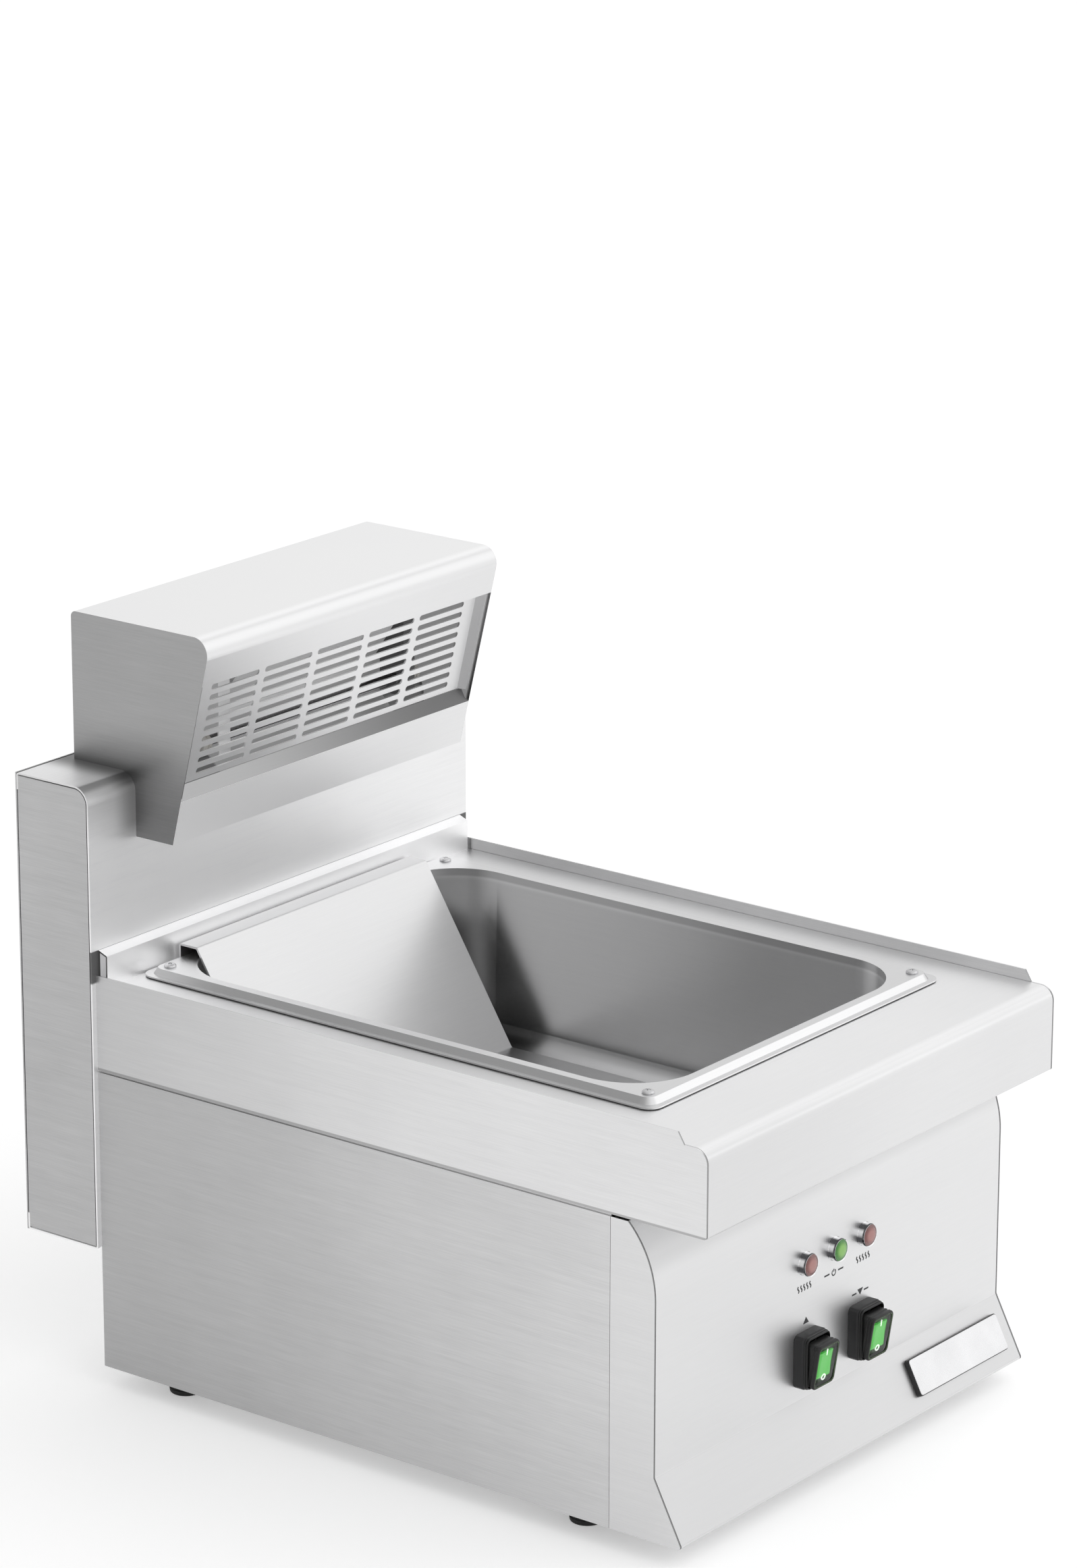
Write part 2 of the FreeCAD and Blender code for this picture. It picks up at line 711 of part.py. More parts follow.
def make_case():
    tray = folded("tray_blank", "front", "toe_y + bottom_flange", "housing_y - sheet", [
        ("-half_inside", "case_z + tray_lip"),
        ("-half_inside", "case_z", "fold_radius"),
        ("half_inside", "case_z", "fold_radius"),
        ("half_inside", "case_z + tray_lip"),
    ], "left")
    tray.Dir = ALONG["y"]
    holes = [rod(f"tray_hole_{side}_{end}", "screw_radius + screw_clearance",
                 "sheet + 2 * cut_overrun", (x, y, "case_z - cut_overrun"))
             for side, end, x, y in foot_places()]
    sub_part("base_plate", cut("drilled_tray", tray, *holes))

    back = pad_body("back_blank", "front", "housing_y - sheet", "housing_y",
                    rectangle("-half_inside", "half_inside", "tray_z", "worktop_z"),
                    [("0", "wire_hole_z", "wire_hole_radius"),
                     ("gland_offset", "gland_z", "gland_radius")])
    sub_part("back_panel", back)

    for name, sign in (("left", "-1"), ("right", "1")):
        low, high = ("-half_body", "-half_inside") if sign == "-1" else ("half_inside", "half_body")
        cheek = [("cheek_y", "case_z")] + CASE_PROFILE + [("cheek_y", "panel_top_z")]
        sub_part(f"{name}_front_cheek", pad_body(f"{name}_cheek", "side", low, high, cheek))

        hand = "right" if sign == "-1" else "left"
        panel = folded(f"{name}_panel", "front", "cheek_y + seam_gap", "housing_y", [
            (f"{sign} * half_body", "case_z"),
            (f"{sign} * half_body", "panel_top_z"),
            (f"{sign} * half_inside", "panel_top_z"),
            (f"{sign} * half_inside", "panel_top_z + joggle_height"),
        ], hand)
        sub_part(f"{name}_side_panel", cut(f"{name}_notched_panel", panel, back))

    front = folded("front_blank", "side", "-half_front", "half_front",
                   [("toe_y + bottom_flange", "case_z")] + CASE_PROFILE
                   + [("curl_y + top_return", "panel_top_z")], "right")
    tools = []
    for x, number in (("-pilot_pitch", 1), ("0", 2), ("pilot_pitch", 3)):
        tools.append(rod(f"pilot_hole_{number}", "pilot_body_radius + pilot_hole_gap",
                         "sheet + 2 * cut_overrun", (x, "face_y - cut_overrun", "pilot_z"), "y"))
    for x, number in (("-switch_offset", 1), ("switch_offset", 2)):
        tools.append(box(f"switch_hole_{number}",
                         (f"{x} - switch_body_width / 2 - switch_hole_gap",
                          f"{x} + switch_body_width / 2 + switch_hole_gap"),
                         ("face_y - cut_overrun", "face_y + sheet + cut_overrun"),
                         ("switch_z - switch_body_height / 2 - switch_hole_gap",
                          "switch_z + switch_body_height / 2 + switch_hole_gap")))
    sub_part("front_panel", cut("pierced_front", front, *tools))


def make_worktop():
    top = folded("worktop_blank", "side", "-half_front", "half_front", [
        ("front_y + worktop_return", "skirt_z"),
        ("front_y", "skirt_z", "fold_radius"),
        ("front_y", "worktop_z", "worktop_round"),
        ("housing_y - sheet", "worktop_z", "fold_radius"),
        ("housing_y - sheet", "worktop_z - rear_flange"),
    ], "right")
    opening = slab("worktop_opening", "flat", "worktop_z - sheet - cut_overrun",
                   "worktop_z + cut_overrun", grown("cutout_clearance", "basin_corner"))
    tools = [opening] + rim_screw_holes("worktop")
    sub_part("worktop", cut("pierced_worktop", top, *tools))

    for name, low, high in (("left", "-half_body", "-half_inside"), ("right", "half_inside", "half_body")):
        side = pad_body(f"{name}_skirt", "side", low, high, [
            ("front_y", "skirt_z", "fold_radius"),
            ("housing_y", "skirt_z"),
            ("housing_y", "worktop_z + rim_rise"),
            ("front_y + rim_setback + rim_slope", "worktop_z + rim_rise"),
            ("front_y + rim_setback", "worktop_z"),
            ("front_y", "worktop_z", "worktop_round"),
        ])
        sub_part(f"{name}_worktop_side", side)

    upstand = folded("upstand_channel", "side", "-half_inside + upstand_end_gap",
                     "half_inside - upstand_end_gap", [
        ("housing_y - upstand_depth", "worktop_z"),
        ("housing_y - upstand_depth", "worktop_z + upstand_height"),
        ("housing_y", "worktop_z + upstand_height + upstand_slope"),
        ("housing_y", "worktop_z"),
    ], "right")
    sub_part("rear_upstand", upstand)


# Rear housing

def make_housing():
    shell = folded("housing_blank", "side", "-half_housing", "half_housing", [
        ("cover_y - sheet", "housing_z + cover_flange"),
        ("cover_y - sheet", "housing_z", "fold_radius"),
        ("housing_y", "housing_z", "fold_radius"),
        ("housing_y", "housing_top_z", "housing_round"),
        ("cover_y - sheet", "housing_top_z", "fold_radius"),
        ("cover_y - sheet", "housing_top_z - cover_flange"),
    ], "right")
    hangers = [box(f"{name}_hanger", x, ("housing_y", "housing_y + sheet"),
                   ("housing_z - hanger_drop", "housing_z + hanger_width"))
               for name, x in (("left", ("-half_body", "-half_body + hanger_width")),
                               ("right", ("half_body - hanger_width", "half_body")))]
    wire_hole = rod("shell_wire_hole", "wire_hole_radius", "sheet + 2 * cut_overrun",
                    ("0", "housing_y - cut_overrun", "wire_hole_z"), "y")
    duct = rod("shell_duct", "wire_hole_radius", "sheet + 2 * cut_overrun",
               ("0", "duct_y", "housing_top_z - sheet - cut_overrun"))
    tools = [wire_hole, duct] + cover_screw_holes("shell")
    sub_part("housing_shell", cut("pierced_shell", fuse("hung_shell", shell, *hangers), *tools))

    for name, sign in (("left", "-1"), ("right", "1")):
        outer = "(half_housing - cap_inset)"
        low = f"-{outer}" if sign == "-1" else f"{outer} - sheet"
        high = f"-{outer} + sheet" if sign == "-1" else outer
        plate = slab(f"{name}_cap_plate", "side", low, high, [
            ("housing_y + sheet + cap_gap", "housing_z + sheet + cap_gap"),
            ("cover_y - 2 * sheet - cap_gap", "housing_z + sheet + cap_gap"),
            ("cover_y - 2 * sheet - cap_gap", "housing_top_z - sheet - cap_gap"),
            ("housing_y + sheet + cap_gap", "housing_top_z - sheet - cap_gap",
             "housing_round - sheet - cap_gap"),
        ])
        inner = (f"{low} + sheet / 2", f"{low} + cap_tab_depth") if sign == "-1" \
            else (f"{high} - cap_tab_depth", f"{high} - sheet / 2")
        middle = "(housing_y + cover_y) / 2"
        tab_y = (f"{middle} - cap_tab_length / 2", f"{middle} + cap_tab_length / 2")
        low_tab = box(f"{name}_low_tab", inner, tab_y,
                      ("housing_z + sheet", "housing_z + 2 * sheet + cap_gap"))
        top_tab = box(f"{name}_top_tab", inner, tab_y,
                      ("housing_top_z - 2 * sheet - cap_gap", "housing_top_z - sheet"))
        sub_part(f"housing_{name}_cap", fuse(f"{name}_cap", plate, low_tab, top_tab))

    cover = pad_body("cover_blank", "front", "cover_y - sheet", "cover_y",
                     rectangle("-half_housing", "half_housing", "housing_z", "housing_top_z"),
                     [(x, z, "screw_radius + screw_clearance") for x, z in cover_screw_places()])
    sub_part("housing_back_cover", cover)


def cover_screw_places():
    side = "half_housing - cover_screw_inset - sheet"
    low = "housing_z + cover_screw_inset"
    high = "housing_top_z - cover_screw_inset"
    return [(x, z) for z in (low, high) for x in (f"-({side})", "0", side)]


def cover_screw_holes(owner):
    return [rod(f"{owner}_cover_hole_{number}", "screw_radius + screw_clearance",
                "sheet + 2 * cut_overrun", (x, "cover_y - 2 * sheet - cut_overrun", z), "y")
            for number, (x, z) in enumerate(cover_screw_places(), start=1)]


# Hood

def make_hood():
    shell = folded("hood_blank", "side", "-half_hood", "half_hood", [
        ("hood_back_y - hood_foot_flange", "housing_top_z"),
        ("hood_back_y", "housing_top_z", "fold_radius"),
        ("hood_back_y", "hood_top_z", "hood_rear_round"),
        ("hood_roof_y", "hood_top_z", "hood_front_round"),
        ("band_y", "band_z"),
        ("band_y + band_return", "band_z"),
    ], "left")
    sub_part("hood_shell", shell)

    apron = folded("apron_blank", "side", "-half_hood", "half_hood", [
        ("grille_foot_y", "grille_foot_z - seam_gap"),
        ("ledge_y", "ledge_z"),
        ("hood_tip_y", "hood_tip_z"),
        ("housing_y", "hood_tip_z"),
        ("housing_y", "hood_tip_z + apron_flange"),
    ], "left")
    sub_part("hood_apron", apron)

    for name, low, high in (("left", "-hood_side_x", "-hood_side_x + sheet"),
                            ("right", "hood_side_x - sheet", "hood_side_x")):
        side = pad_body(f"{name}_hood_plate", "side", low, high, [
            ("hood_back_y - sheet", "housing_top_z + sheet"),
            ("hood_back_y - sheet", "hood_top_z - sheet", "hood_rear_round - sheet"),
            ("hood_roof_y + sheet * hood_slant_run / slant_fall + slant_step",
             "hood_top_z - sheet", "hood_front_round - sheet"),
            ("hood_tip_y - sheet * hood_slant_run / slant_fall + slant_step", "hood_tip_z + sheet"),
            ("housing_y - sheet", "hood_tip_z + sheet"),
            ("housing_y - sheet", "hood_tip_z + apron_flange"),
            ("housing_y", "hood_tip_z + apron_flange"),
            ("housing_y", "housing_top_z", "housing_round"),
            ("hood_back_y - hood_foot_flange", "housing_top_z"),
            ("hood_back_y - hood_foot_flange", "housing_top_z + sheet"),
        ])
        sub_part(f"hood_{name}_side", cut(f"{name}_notched_plate", side, shell, apron))

    make_grille()
    make_heat_lamp()


def make_grille():
    wing = "hood_side_x - sheet"
    bend = f"{wing} - grille_bend_inset"
    grille = pad_body("grille_blank", "front", "-grille_length + seam_gap", "-seam_gap", [
        (f"-({bend})", "0"),
        (bend, "0"),
        (wing, "grille_bend_rise"),
        (wing, "grille_bend_rise - sheet - seam_gap"),
        (f"{bend} + seam_gap", "-sheet"),
        (f"-({bend} + seam_gap)", "-sheet"),
        (f"-({wing})", "grille_bend_rise - sheet - seam_gap"),
        (f"-({wing})", "grille_bend_rise"),
    ])
    left = "-vent_column_pitch * (vent_columns - 1) / 2"
    sketch, vent = pocket(grille, "vent", "flat", "cut_overrun", rectangle(
        f"{left} - vent_width / 2", f"{left} + vent_width / 2",
        "-vent_first_drop - vent_height / 2", "-vent_first_drop + vent_height / 2",
        "vent_end_radius"))
    grid_pattern(grille, "vent_grid", sketch, vent, "vent_columns", "vent_column_pitch",
                 "vent_rows", "vent_row_pitch", down=True)
    grille.Placement = FreeCAD.Placement(VECTOR(), FreeCAD.Rotation(ALONG["x"], 90))
    bind(grille, "Placement.Rotation.Angle", "90 deg + atan(hood_slant_run / slant_fall)")
    bind(grille, "Placement.Base.y", "grille_y")
    bind(grille, "Placement.Base.z", "band_z")
    sub_part("hood_grille", grille)


def make_heat_lamp():
    glass = rod("lamp_glass", "lamp_tube_radius", "lamp_tube_span",
                ("-lamp_tube_span / 2", "lamp_y", "lamp_z"), "x")
    ends = [rod(f"lamp_end_{name}", "lamp_end_radius", "lamp_end_length", (x, "lamp_y", "lamp_z"), "x")
            for name, x in (("left", "-lamp_tube_span / 2 - lamp_end_length"),
                            ("right", "lamp_tube_span / 2"))]
    sub_part("upper_heater", fuse("capped_lamp", glass, *ends))

    half = "reflector_span / 2"
    mirror = folded("reflector_blank", "side", f"-{half}", half, [
        ("reflector_y - reflector_top_run", "lamp_z + reflector_half_mouth + reflector_top_rise"),
        ("reflector_y", "lamp_z + reflector_half_mouth"),
        ("reflector_y", "lamp_z - reflector_half_mouth"),
        ("reflector_y - reflector_low_run", "lamp_z - reflector_half_mouth - reflector_low_drop"),
    ], "left")
    notches = [box(f"wing_notch_{name}", x,
                   ("reflector_y - reflector_top_run - cut_overrun", "reflector_y + cut_overrun"),
                   ("lamp_z + reflector_half_mouth + sheet",
                    "lamp_z + reflector_half_mouth + reflector_top_rise + cut_overrun"))
               for name, x in (("left", (f"-{half} - cut_overrun", "-reflector_wing_span / 2")),
                               ("right", ("reflector_wing_span / 2", f"{half} + cut_overrun")))]
    sub_part("hood_reflector", cut("notched_reflector", mirror, *notches))

    brackets = []
    front = "lamp_y - bracket_front_gap"
    foot = "lamp_z - bracket_foot_drop"
    for name, sign in (("left", "-1"), ("right", "1")):
        plate_x = (half, f"{half} + sheet") if sign == "1" else (f"-{half} - sheet", f"-{half}")
        face_x = (half, f"{half} + bracket_face_width") if sign == "1" \
            else (f"-{half} - bracket_face_width", f"-{half}")
        plate = box(f"{name}_bracket_plate", plate_x, (front, f"{front} + bracket_depth"),
                    (foot, "hood_top_z - sheet"))
        face = box(f"{name}_bracket_face", face_x, (front, f"{front} + sheet"),
                   (foot, f"{foot} + bracket_face_height"))
        hole = rod(f"{name}_bracket_hole", "lamp_tube_radius + lamp_tube_clearance",
                   "3 * bracket_face_width", (f"{face_x[0]} - bracket_face_width", "lamp_y", "lamp_z"), "x")
        brackets.append(cut(f"{name}_bracket", fuse(f"{name}_bracket_blank", plate, face), hole))
    sub_part("heater_brackets", group("bracket_pair", brackets))


# Basin

def bowl(label, grow, gauge):
    """A drawn bowl: drafted walls and a rounded floor edge, wide side up."""
    body = doc.addObject("PartDesign::Body", label)
    sketch = body_sketch(body, label + "_sketch", "flat", "land_z",
                         grown(grow, f"basin_corner + {grow}"))
    pad = body.newObject("PartDesign::Pad", label + "_pad")
    pad.Profile = sketch
    pad.Reversed = True
    bind(pad, "Length", f"basin_depth + {gauge}")
    bind(pad, "TaperAngle", "-basin_draft")
    doc.recompute()
    low = pad.Shape.BoundBox.ZMin
    flat = value("basin_gauge") / 2
    edges = [f"Edge{number}" for number, edge in enumerate(pad.Shape.Edges, start=1)
             if edge.BoundBox.ZMax < low + flat]
    rounding = body.newObject("PartDesign::Fillet", label + "_fillet")
    rounding.Base = (pad, edges)
    bind(rounding, "Radius", f"basin_floor_radius + {gauge}")
    body.Tip = rounding
    return body


def rim_hill(label, drop):
    """The rim's sloping shoulder as a solid hill, from the lip up to the land."""
    body = doc.addObject("PartDesign::Body", label)
    sketch = body_sketch(body, label + "_sketch", "flat", f"lip_z - {drop}",
                         grown("slope_grow", "rim_corner"))
    pad = body.newObject("PartDesign::Pad", label + "_pad")
    pad.Profile = sketch
    bind(pad, "Length", "rim_slope_drop")
    bind(pad, "TaperAngle", "-atan(rim_slope_run / rim_slope_drop)")
    return body


def rim_screw_places():
    return [(f"{x} * rim_screw_x", f"basin_y + {y} * rim_screw_y") for x in ("-1", "1") for y in ("-1", "1")]


def rim_screw_holes(owner):
    return [rod(f"{owner}_rim_hole_{number}", "screw_radius + screw_clearance",
                "rim_stand + 2 * cut_overrun", (x, y, "worktop_z - cut_overrun"))
            for number, (x, y) in enumerate(rim_screw_places(), start=1)]


def make_basin():
    lip = slab("rim_lip_plate", "flat", "lip_z - basin_gauge", "lip_z",
               grown("lip_grow", "rim_corner"))
    rim = cut("rim_shell", fuse("rim_solid", lip, rim_hill("rim_hill_outside", "0")),
              rim_hill("rim_hill_inside", "basin_gauge"))
    studs = [rod(f"weld_stud_{number}", "screw_radius", "stud_length",
                 (x, y, "floor_under_z - stud_length"))
             for number, (x, y) in enumerate(stud_places(), start=1)]
    whole = fuse("rim_and_bowl", rim, bowl("bowl_outside", "basin_gauge", "basin_gauge"), *studs)
    tools = [bowl("bowl_inside", "0", "0")] + rim_screw_holes("basin")
    sub_part("basin", cut("hollow_basin", whole, *tools))

    seal = slab("seal_band", "flat", "worktop_z", "lip_z - basin_gauge",
                grown("lip_grow - seal_inset", "rim_corner"))
    inside = slab("seal_inside", "flat", "worktop_z - cut_overrun", "lip_z + cut_overrun",
                  grown("lip_grow - seal_inset - seal_width", "rim_corner"))
    sub_part("basin_seal", cut("seal_ring", seal, inside))

    path = [
        ("-element_tail", "basin_y + element_half_length"),
        ("-element_half_width", "basin_y + element_half_length", "element_bend"),
        ("-element_half_width", "basin_y - element_half_length", "element_bend"),
        ("element_half_width", "basin_y - element_half_length", "element_bend"),
        ("element_half_width", "basin_y + element_half_length", "element_bend"),
        ("element_tail", "basin_y + element_half_length"),
    ]
    ring = tube("element_tube", "flat", "element_z", path, "element_radius")
    pins = [rod(f"element_pin_{name}", "pin_radius", "pin_length",
                (x, "basin_y + element_half_length", "element_z"), "x")
            for name, x in (("left", "-element_tail"), ("right", "element_tail - pin_length"))]
    sub_part("lower_heater", fuse("pinned_element", ring, *pins))

    clamps = []
    nuts = []
    for name, sign in (("front", "-1"), ("back", "1")):
        y = f"basin_y + {sign} * clamp_offset"
        clamps.append(pad_body(f"{name}_clamp", "flat", "clamp_z - sheet", "clamp_z",
                               rectangle("-clamp_half_width", "clamp_half_width",
                                         f"{y} - clamp_depth / 2", f"{y} + clamp_depth / 2"),
                               [(x, y, "screw_radius + screw_clearance")
                                for x in ("-stud_offset", "stud_offset")]))
    for number, (x, y) in enumerate(stud_places(), start=1):
        nut = doc.addObject("Part::Prism", f"nut_blank_{number}")
        nut.Polygon = 6
        bind(nut, "Circumradius", "nut_radius")
        bind(nut, "Height", "nut_height")
        for axis, place in zip("xyz", (x, y, "clamp_z - sheet - nut_height")):
            bind(nut, "Placement.Base." + axis, place)
        bore = rod(f"nut_bore_{number}", "screw_radius", "nut_height + 2 * cut_overrun",
                   (x, y, "clamp_z - sheet - nut_height - cut_overrun"))
        nuts.append(cut(f"nut_{number}", nut, bore))
    sub_part("heater_clamps", group("clamp_pair", clamps))
    sub_part("clamp_nuts", group("nut_set", nuts))

    sensor = rod("sensor_disc", "thermostat_radius", "floor_under_z - clamp_z",
                 ("0", "basin_y - clamp_offset", "clamp_z"))
    sub_part("thermostat", sensor)


def stud_places():
    return [(x, f"basin_y + {sign} * clamp_offset")
            for x in ("-stud_offset", "stud_offset") for sign in ("-1", "1")]


def make_screws():
    screws = []
    for number, (x, y) in enumerate(rim_screw_places(), start=1):
        head = rod(f"rim_screw_head_{number}", "screw_head_radius", "screw_head_height", (x, y, "land_z"))
        shank = rod(f"rim_screw_shank_{number}", "screw_radius", "screw_length + screw_head_height",
                    (x, y, "land_z - screw_length"))
        screws.append(fuse(f"rim_screw_{number}", head, shank))
    for number, (x, z) in enumerate(cover_screw_places(), start=1):
        head = rod(f"cover_screw_head_{number}", "screw_head_radius", "screw_head_height",
                   (x, "cover_y", z), "y")
        shank = rod(f"cover_screw_shank_{number}", "screw_radius", "screw_length + screw_head_height",
                    (x, "cover_y - screw_length", z), "y")
        screws.append(fuse(f"cover_screw_{number}", head, shank))
    sub_part("pan_head_screws", group("screw_set", screws))


# Drainer insert

def make_insert():
    half = "half_insert"
    blank = folded("insert_blank", "side", f"-{half}", half, [
        ("drain_front_y", "drain_z"),
        ("drain_back_y", "drain_z", "fold_radius"),
        ("fold_y", "hook_z", "fold_radius"),
        ("hook_y", "hook_z", "fold_radius"),
        ("hook_y", "lip_z"),
    ], "right", "insert_gauge")
    bevels = []
    for name, sign in (("left", "-1"), ("right", "1")):
        bevels.append(slab(f"{name}_bevel", "flat", "drain_z - insert_gauge - cut_overrun",
                           "drain_z + cut_overrun", [
            (f"{sign} * ({half} - insert_bevel_x)", "drain_front_y"),
            (f"{sign} * ({half} - insert_bevel_x)", "drain_front_y - cut_overrun"),
            (f"{sign} * ({half} + cut_overrun)", "drain_front_y - cut_overrun"),
            (f"{sign} * ({half} + cut_overrun)", "drain_front_y + insert_bevel_y"),
            (f"{sign} * {half}", "drain_front_y + insert_bevel_y"),
        ]))
    trimmed = cut("trimmed_insert", blank, *bevels)
    doc.recompute()
    body = doc.addObject("PartDesign::Body", "insert_body")
    body.BaseFeature = trimmed
    doc.recompute()
    left = "-drain_column_pitch * (drain_columns - 1) / 2"
    first = "drain_back_y - drain_first_gap"
    sketch, slot = pocket(body, "drain", "flat", "drain_z + cut_overrun", rectangle(
        f"{left} - drain_width / 2", f"{left} + drain_width / 2",
        f"{first} - drain_length", first, "drain_end_radius"))
    grid_pattern(body, "drain_grid", sketch, slot, "drain_columns", "drain_column_pitch",
                 "drain_rows", "drain_row_pitch", down=True)
    doc.recompute()
    pocket(body, "finger_hole", "flat", "drain_z + cut_overrun",
           circles=[("0", "drain_front_y + finger_hole_inset", "finger_hole_radius")])
    body.Tip = doc.getObject("finger_hole")
    sub_part("drainer_insert", body)


# Controls

def make_pilots():
    nuts = []
    for name, x in (("left", "-pilot_pitch"), ("middle", "0"), ("right", "pilot_pitch")):
        bezel = turned(f"{name}_bezel", [
            ("bezel_radius - bezel_wall", "0"),
            ("bezel_radius", "0"),
            ("bezel_radius", "bezel_height", "bezel_wall / 3"),
            ("bezel_radius - bezel_wall", "bezel_height", "bezel_wall / 3"),
        ], (x, "face_y", "pilot_z"), "-y")
        sub_part(f"{name}_lamp_bezel", bezel)
        rim = "(bezel_radius - bezel_wall - lens_gap)"
        lens = turned(f"{name}_lens", [
            ("0", "0"),
            (rim, "0"),
            (rim, "bezel_height - lens_edge / 2"),
            (f"{rim} - lens_edge", "bezel_height + lens_edge / 2"),
            ("0", "bezel_height + lens_crown"),
        ], (x, "face_y", "pilot_z"), "-y")
        sub_part(f"{name}_lamp_lens", lens)
        barrel = rod(f"{name}_barrel", "pilot_body_radius", "pilot_body_length",
                     (x, "face_y", "pilot_z"), "y")
        sub_part(f"{name}_lamp_body", barrel)
        nut = rod(f"{name}_pilot_nut_blank", "pilot_nut_radius", "pilot_nut_height",
                  (x, "face_y + sheet", "pilot_z"), "y")
        bore = rod(f"{name}_pilot_nut_bore", "pilot_body_radius", "pilot_nut_height + 2 * cut_overrun",
                   (x, "face_y + sheet - cut_overrun", "pilot_z"), "y")
        nuts.append(cut(f"{name}_pilot_nut", nut, bore))
    sub_part("lamp_nuts", group("pilot_nut_set", nuts))


def upright(width, height, x="0", z="0", radius=None):
    return rectangle(f"{x} - ({width}) / 2", f"{x} + ({width}) / 2",
                     f"{z} - ({height}) / 2", f"{z} + ({height}) / 2", radius)


def tilt_at_rest(thing, x):
    """Lean a piece drawn about the rocker's axis to its off position."""
    thing.Placement = FreeCAD.Placement(VECTOR(), FreeCAD.Rotation(ALONG["x"], 1))
    bind(thing, "Placement.Rotation.Angle", "rocker_tilt * 1 deg")
    for axis, place in zip("xyz", (x, "rocker_y", "switch_z")):
        bind(thing, "Placement.Base." + axis, place)


def make_switch(name, x):
    hole = upright("boot_width + 2 * boot_gap", "boot_height + 2 * boot_gap_tall", x, "switch_z", "boot_round")
    block = pad_body(f"{name}_plinth", "front", "face_y - switch_plinth", "face_y",
                     upright("switch_width", "switch_height", x, "switch_z", "switch_bevel"))
    pocket(block, f"{name}_plinth_well", "front", "face_y - switch_plinth - cut_overrun", hole)
    block.Tip = doc.getObject(f"{name}_plinth_well")
    sub_part(f"{name}_switch_base", block)

    collar = slab(f"{name}_collar_band", "front", "face_y - switch_plinth - collar_height",
                  "face_y - switch_plinth",
                  upright("switch_width - 2 * collar_margin", "switch_height - 2 * collar_margin",
                          x, "switch_z", "switch_bevel"))
    inside = slab(f"{name}_collar_well", "front",
                  "face_y - switch_plinth - collar_height - cut_overrun",
                  "face_y - switch_plinth + cut_overrun", hole)
    sub_part(f"{name}_switch_bellows", cut(f"{name}_collar", collar, inside))

    body = box(f"{name}_works",
               (f"{x} - switch_body_width / 2", f"{x} + switch_body_width / 2"),
               ("face_y", "face_y + switch_body_depth"),
               ("switch_z - switch_body_height / 2", "switch_z + switch_body_height / 2"))
    sub_part(f"{name}_switch_body", body)

    tip = "-(boot_reach - rocker_axis_reach)"
    shell = slab(f"{name}_boot_shell", "front", tip, "-(boot_start - rocker_axis_reach)",
                 upright("boot_width", "boot_height", radius="boot_round"))
    cavity = slab(f"{name}_boot_cavity", "front", f"{tip} + boot_wall", "cut_overrun",
                  upright("boot_width - 2 * boot_wall", "boot_height - 2 * boot_wall",
                          radius="boot_round - boot_wall"))
    cover = cut(f"{name}_boot", shell, cavity)
    tilt_at_rest(cover, x)
    sub_part(f"{name}_rocker_cover", cover)

    cap = slab(f"{name}_rocker_cap", "front", f"{tip} + boot_wall + rocker_gap", "-rocker_back",
               upright("rocker_width", "rocker_height", radius="boot_wall"))
    hub = rod(f"{name}_rocker_hub", "rocker_hub", "rocker_width", ("-rocker_width / 2", "0", "0"), "x")
    rocker = fuse(f"{name}_rocker_pair", cap, hub)
    tilt_at_rest(rocker, x)
    sub_part(f"{name}_rocker", rocker)


def make_name_plate():
    plate = pad_body("plate_blank", "flat", "0", "plate_thickness",
                     rectangle("plate_left", "plate_left + plate_width",
                               "-(plate_drop + plate_height)", "-plate_drop", "plate_corner"))
    plate.Placement = FreeCAD.Placement(VECTOR(), FreeCAD.Rotation(ALONG["x"], 1))
    bind(plate, "Placement.Rotation.Angle", "atan(apron_rise / apron_run)")
    bind(plate, "Placement.Base.y", "face_y")
    bind(plate, "Placement.Base.z", "kink_z")
    sub_part("name_plate", plate)


# Feet

def foot_places():
    return [(side, end, x, y) for end, y in (("front", "foot_front_y"), ("back", "foot_back_y"))
            for side, x in (("left", "-foot_offset"), ("right", "foot_offset"))]


def make_feet():
    screws = []
    for side, end, x, y in foot_places():
        foot = turned(f"{side}_{end}_foot_blank", [
            ("screw_radius + screw_clearance", "foot_height"),
            ("screw_radius + screw_clearance", "foot_well_depth"),
            ("foot_well_radius", "foot_well_depth"),
            ("foot_well_radius", "0"),
            ("foot_base_radius", "0", "foot_edge_radius"),
            ("foot_radius", "foot_height"),
        ], (x, y, "0"))
        sub_part(f"{end}_{side}_foot", foot)
        head = rod(f"{side}_{end}_foot_screw_head", "screw_head_radius", "screw_head_height",
                   (x, y, "foot_well_depth - screw_head_height"))
        shank = rod(f"{side}_{end}_foot_screw_shank", "screw_radius",
                    "foot_height - foot_well_depth + sheet + foot_screw_rise + screw_head_height",
                    (x, y, "foot_well_depth - screw_head_height"))
        screws.append(fuse(f"{side}_{end}_foot_screw", head, shank))
    sub_part("foot_screws", group("foot_screw_set", screws))


# Wiring

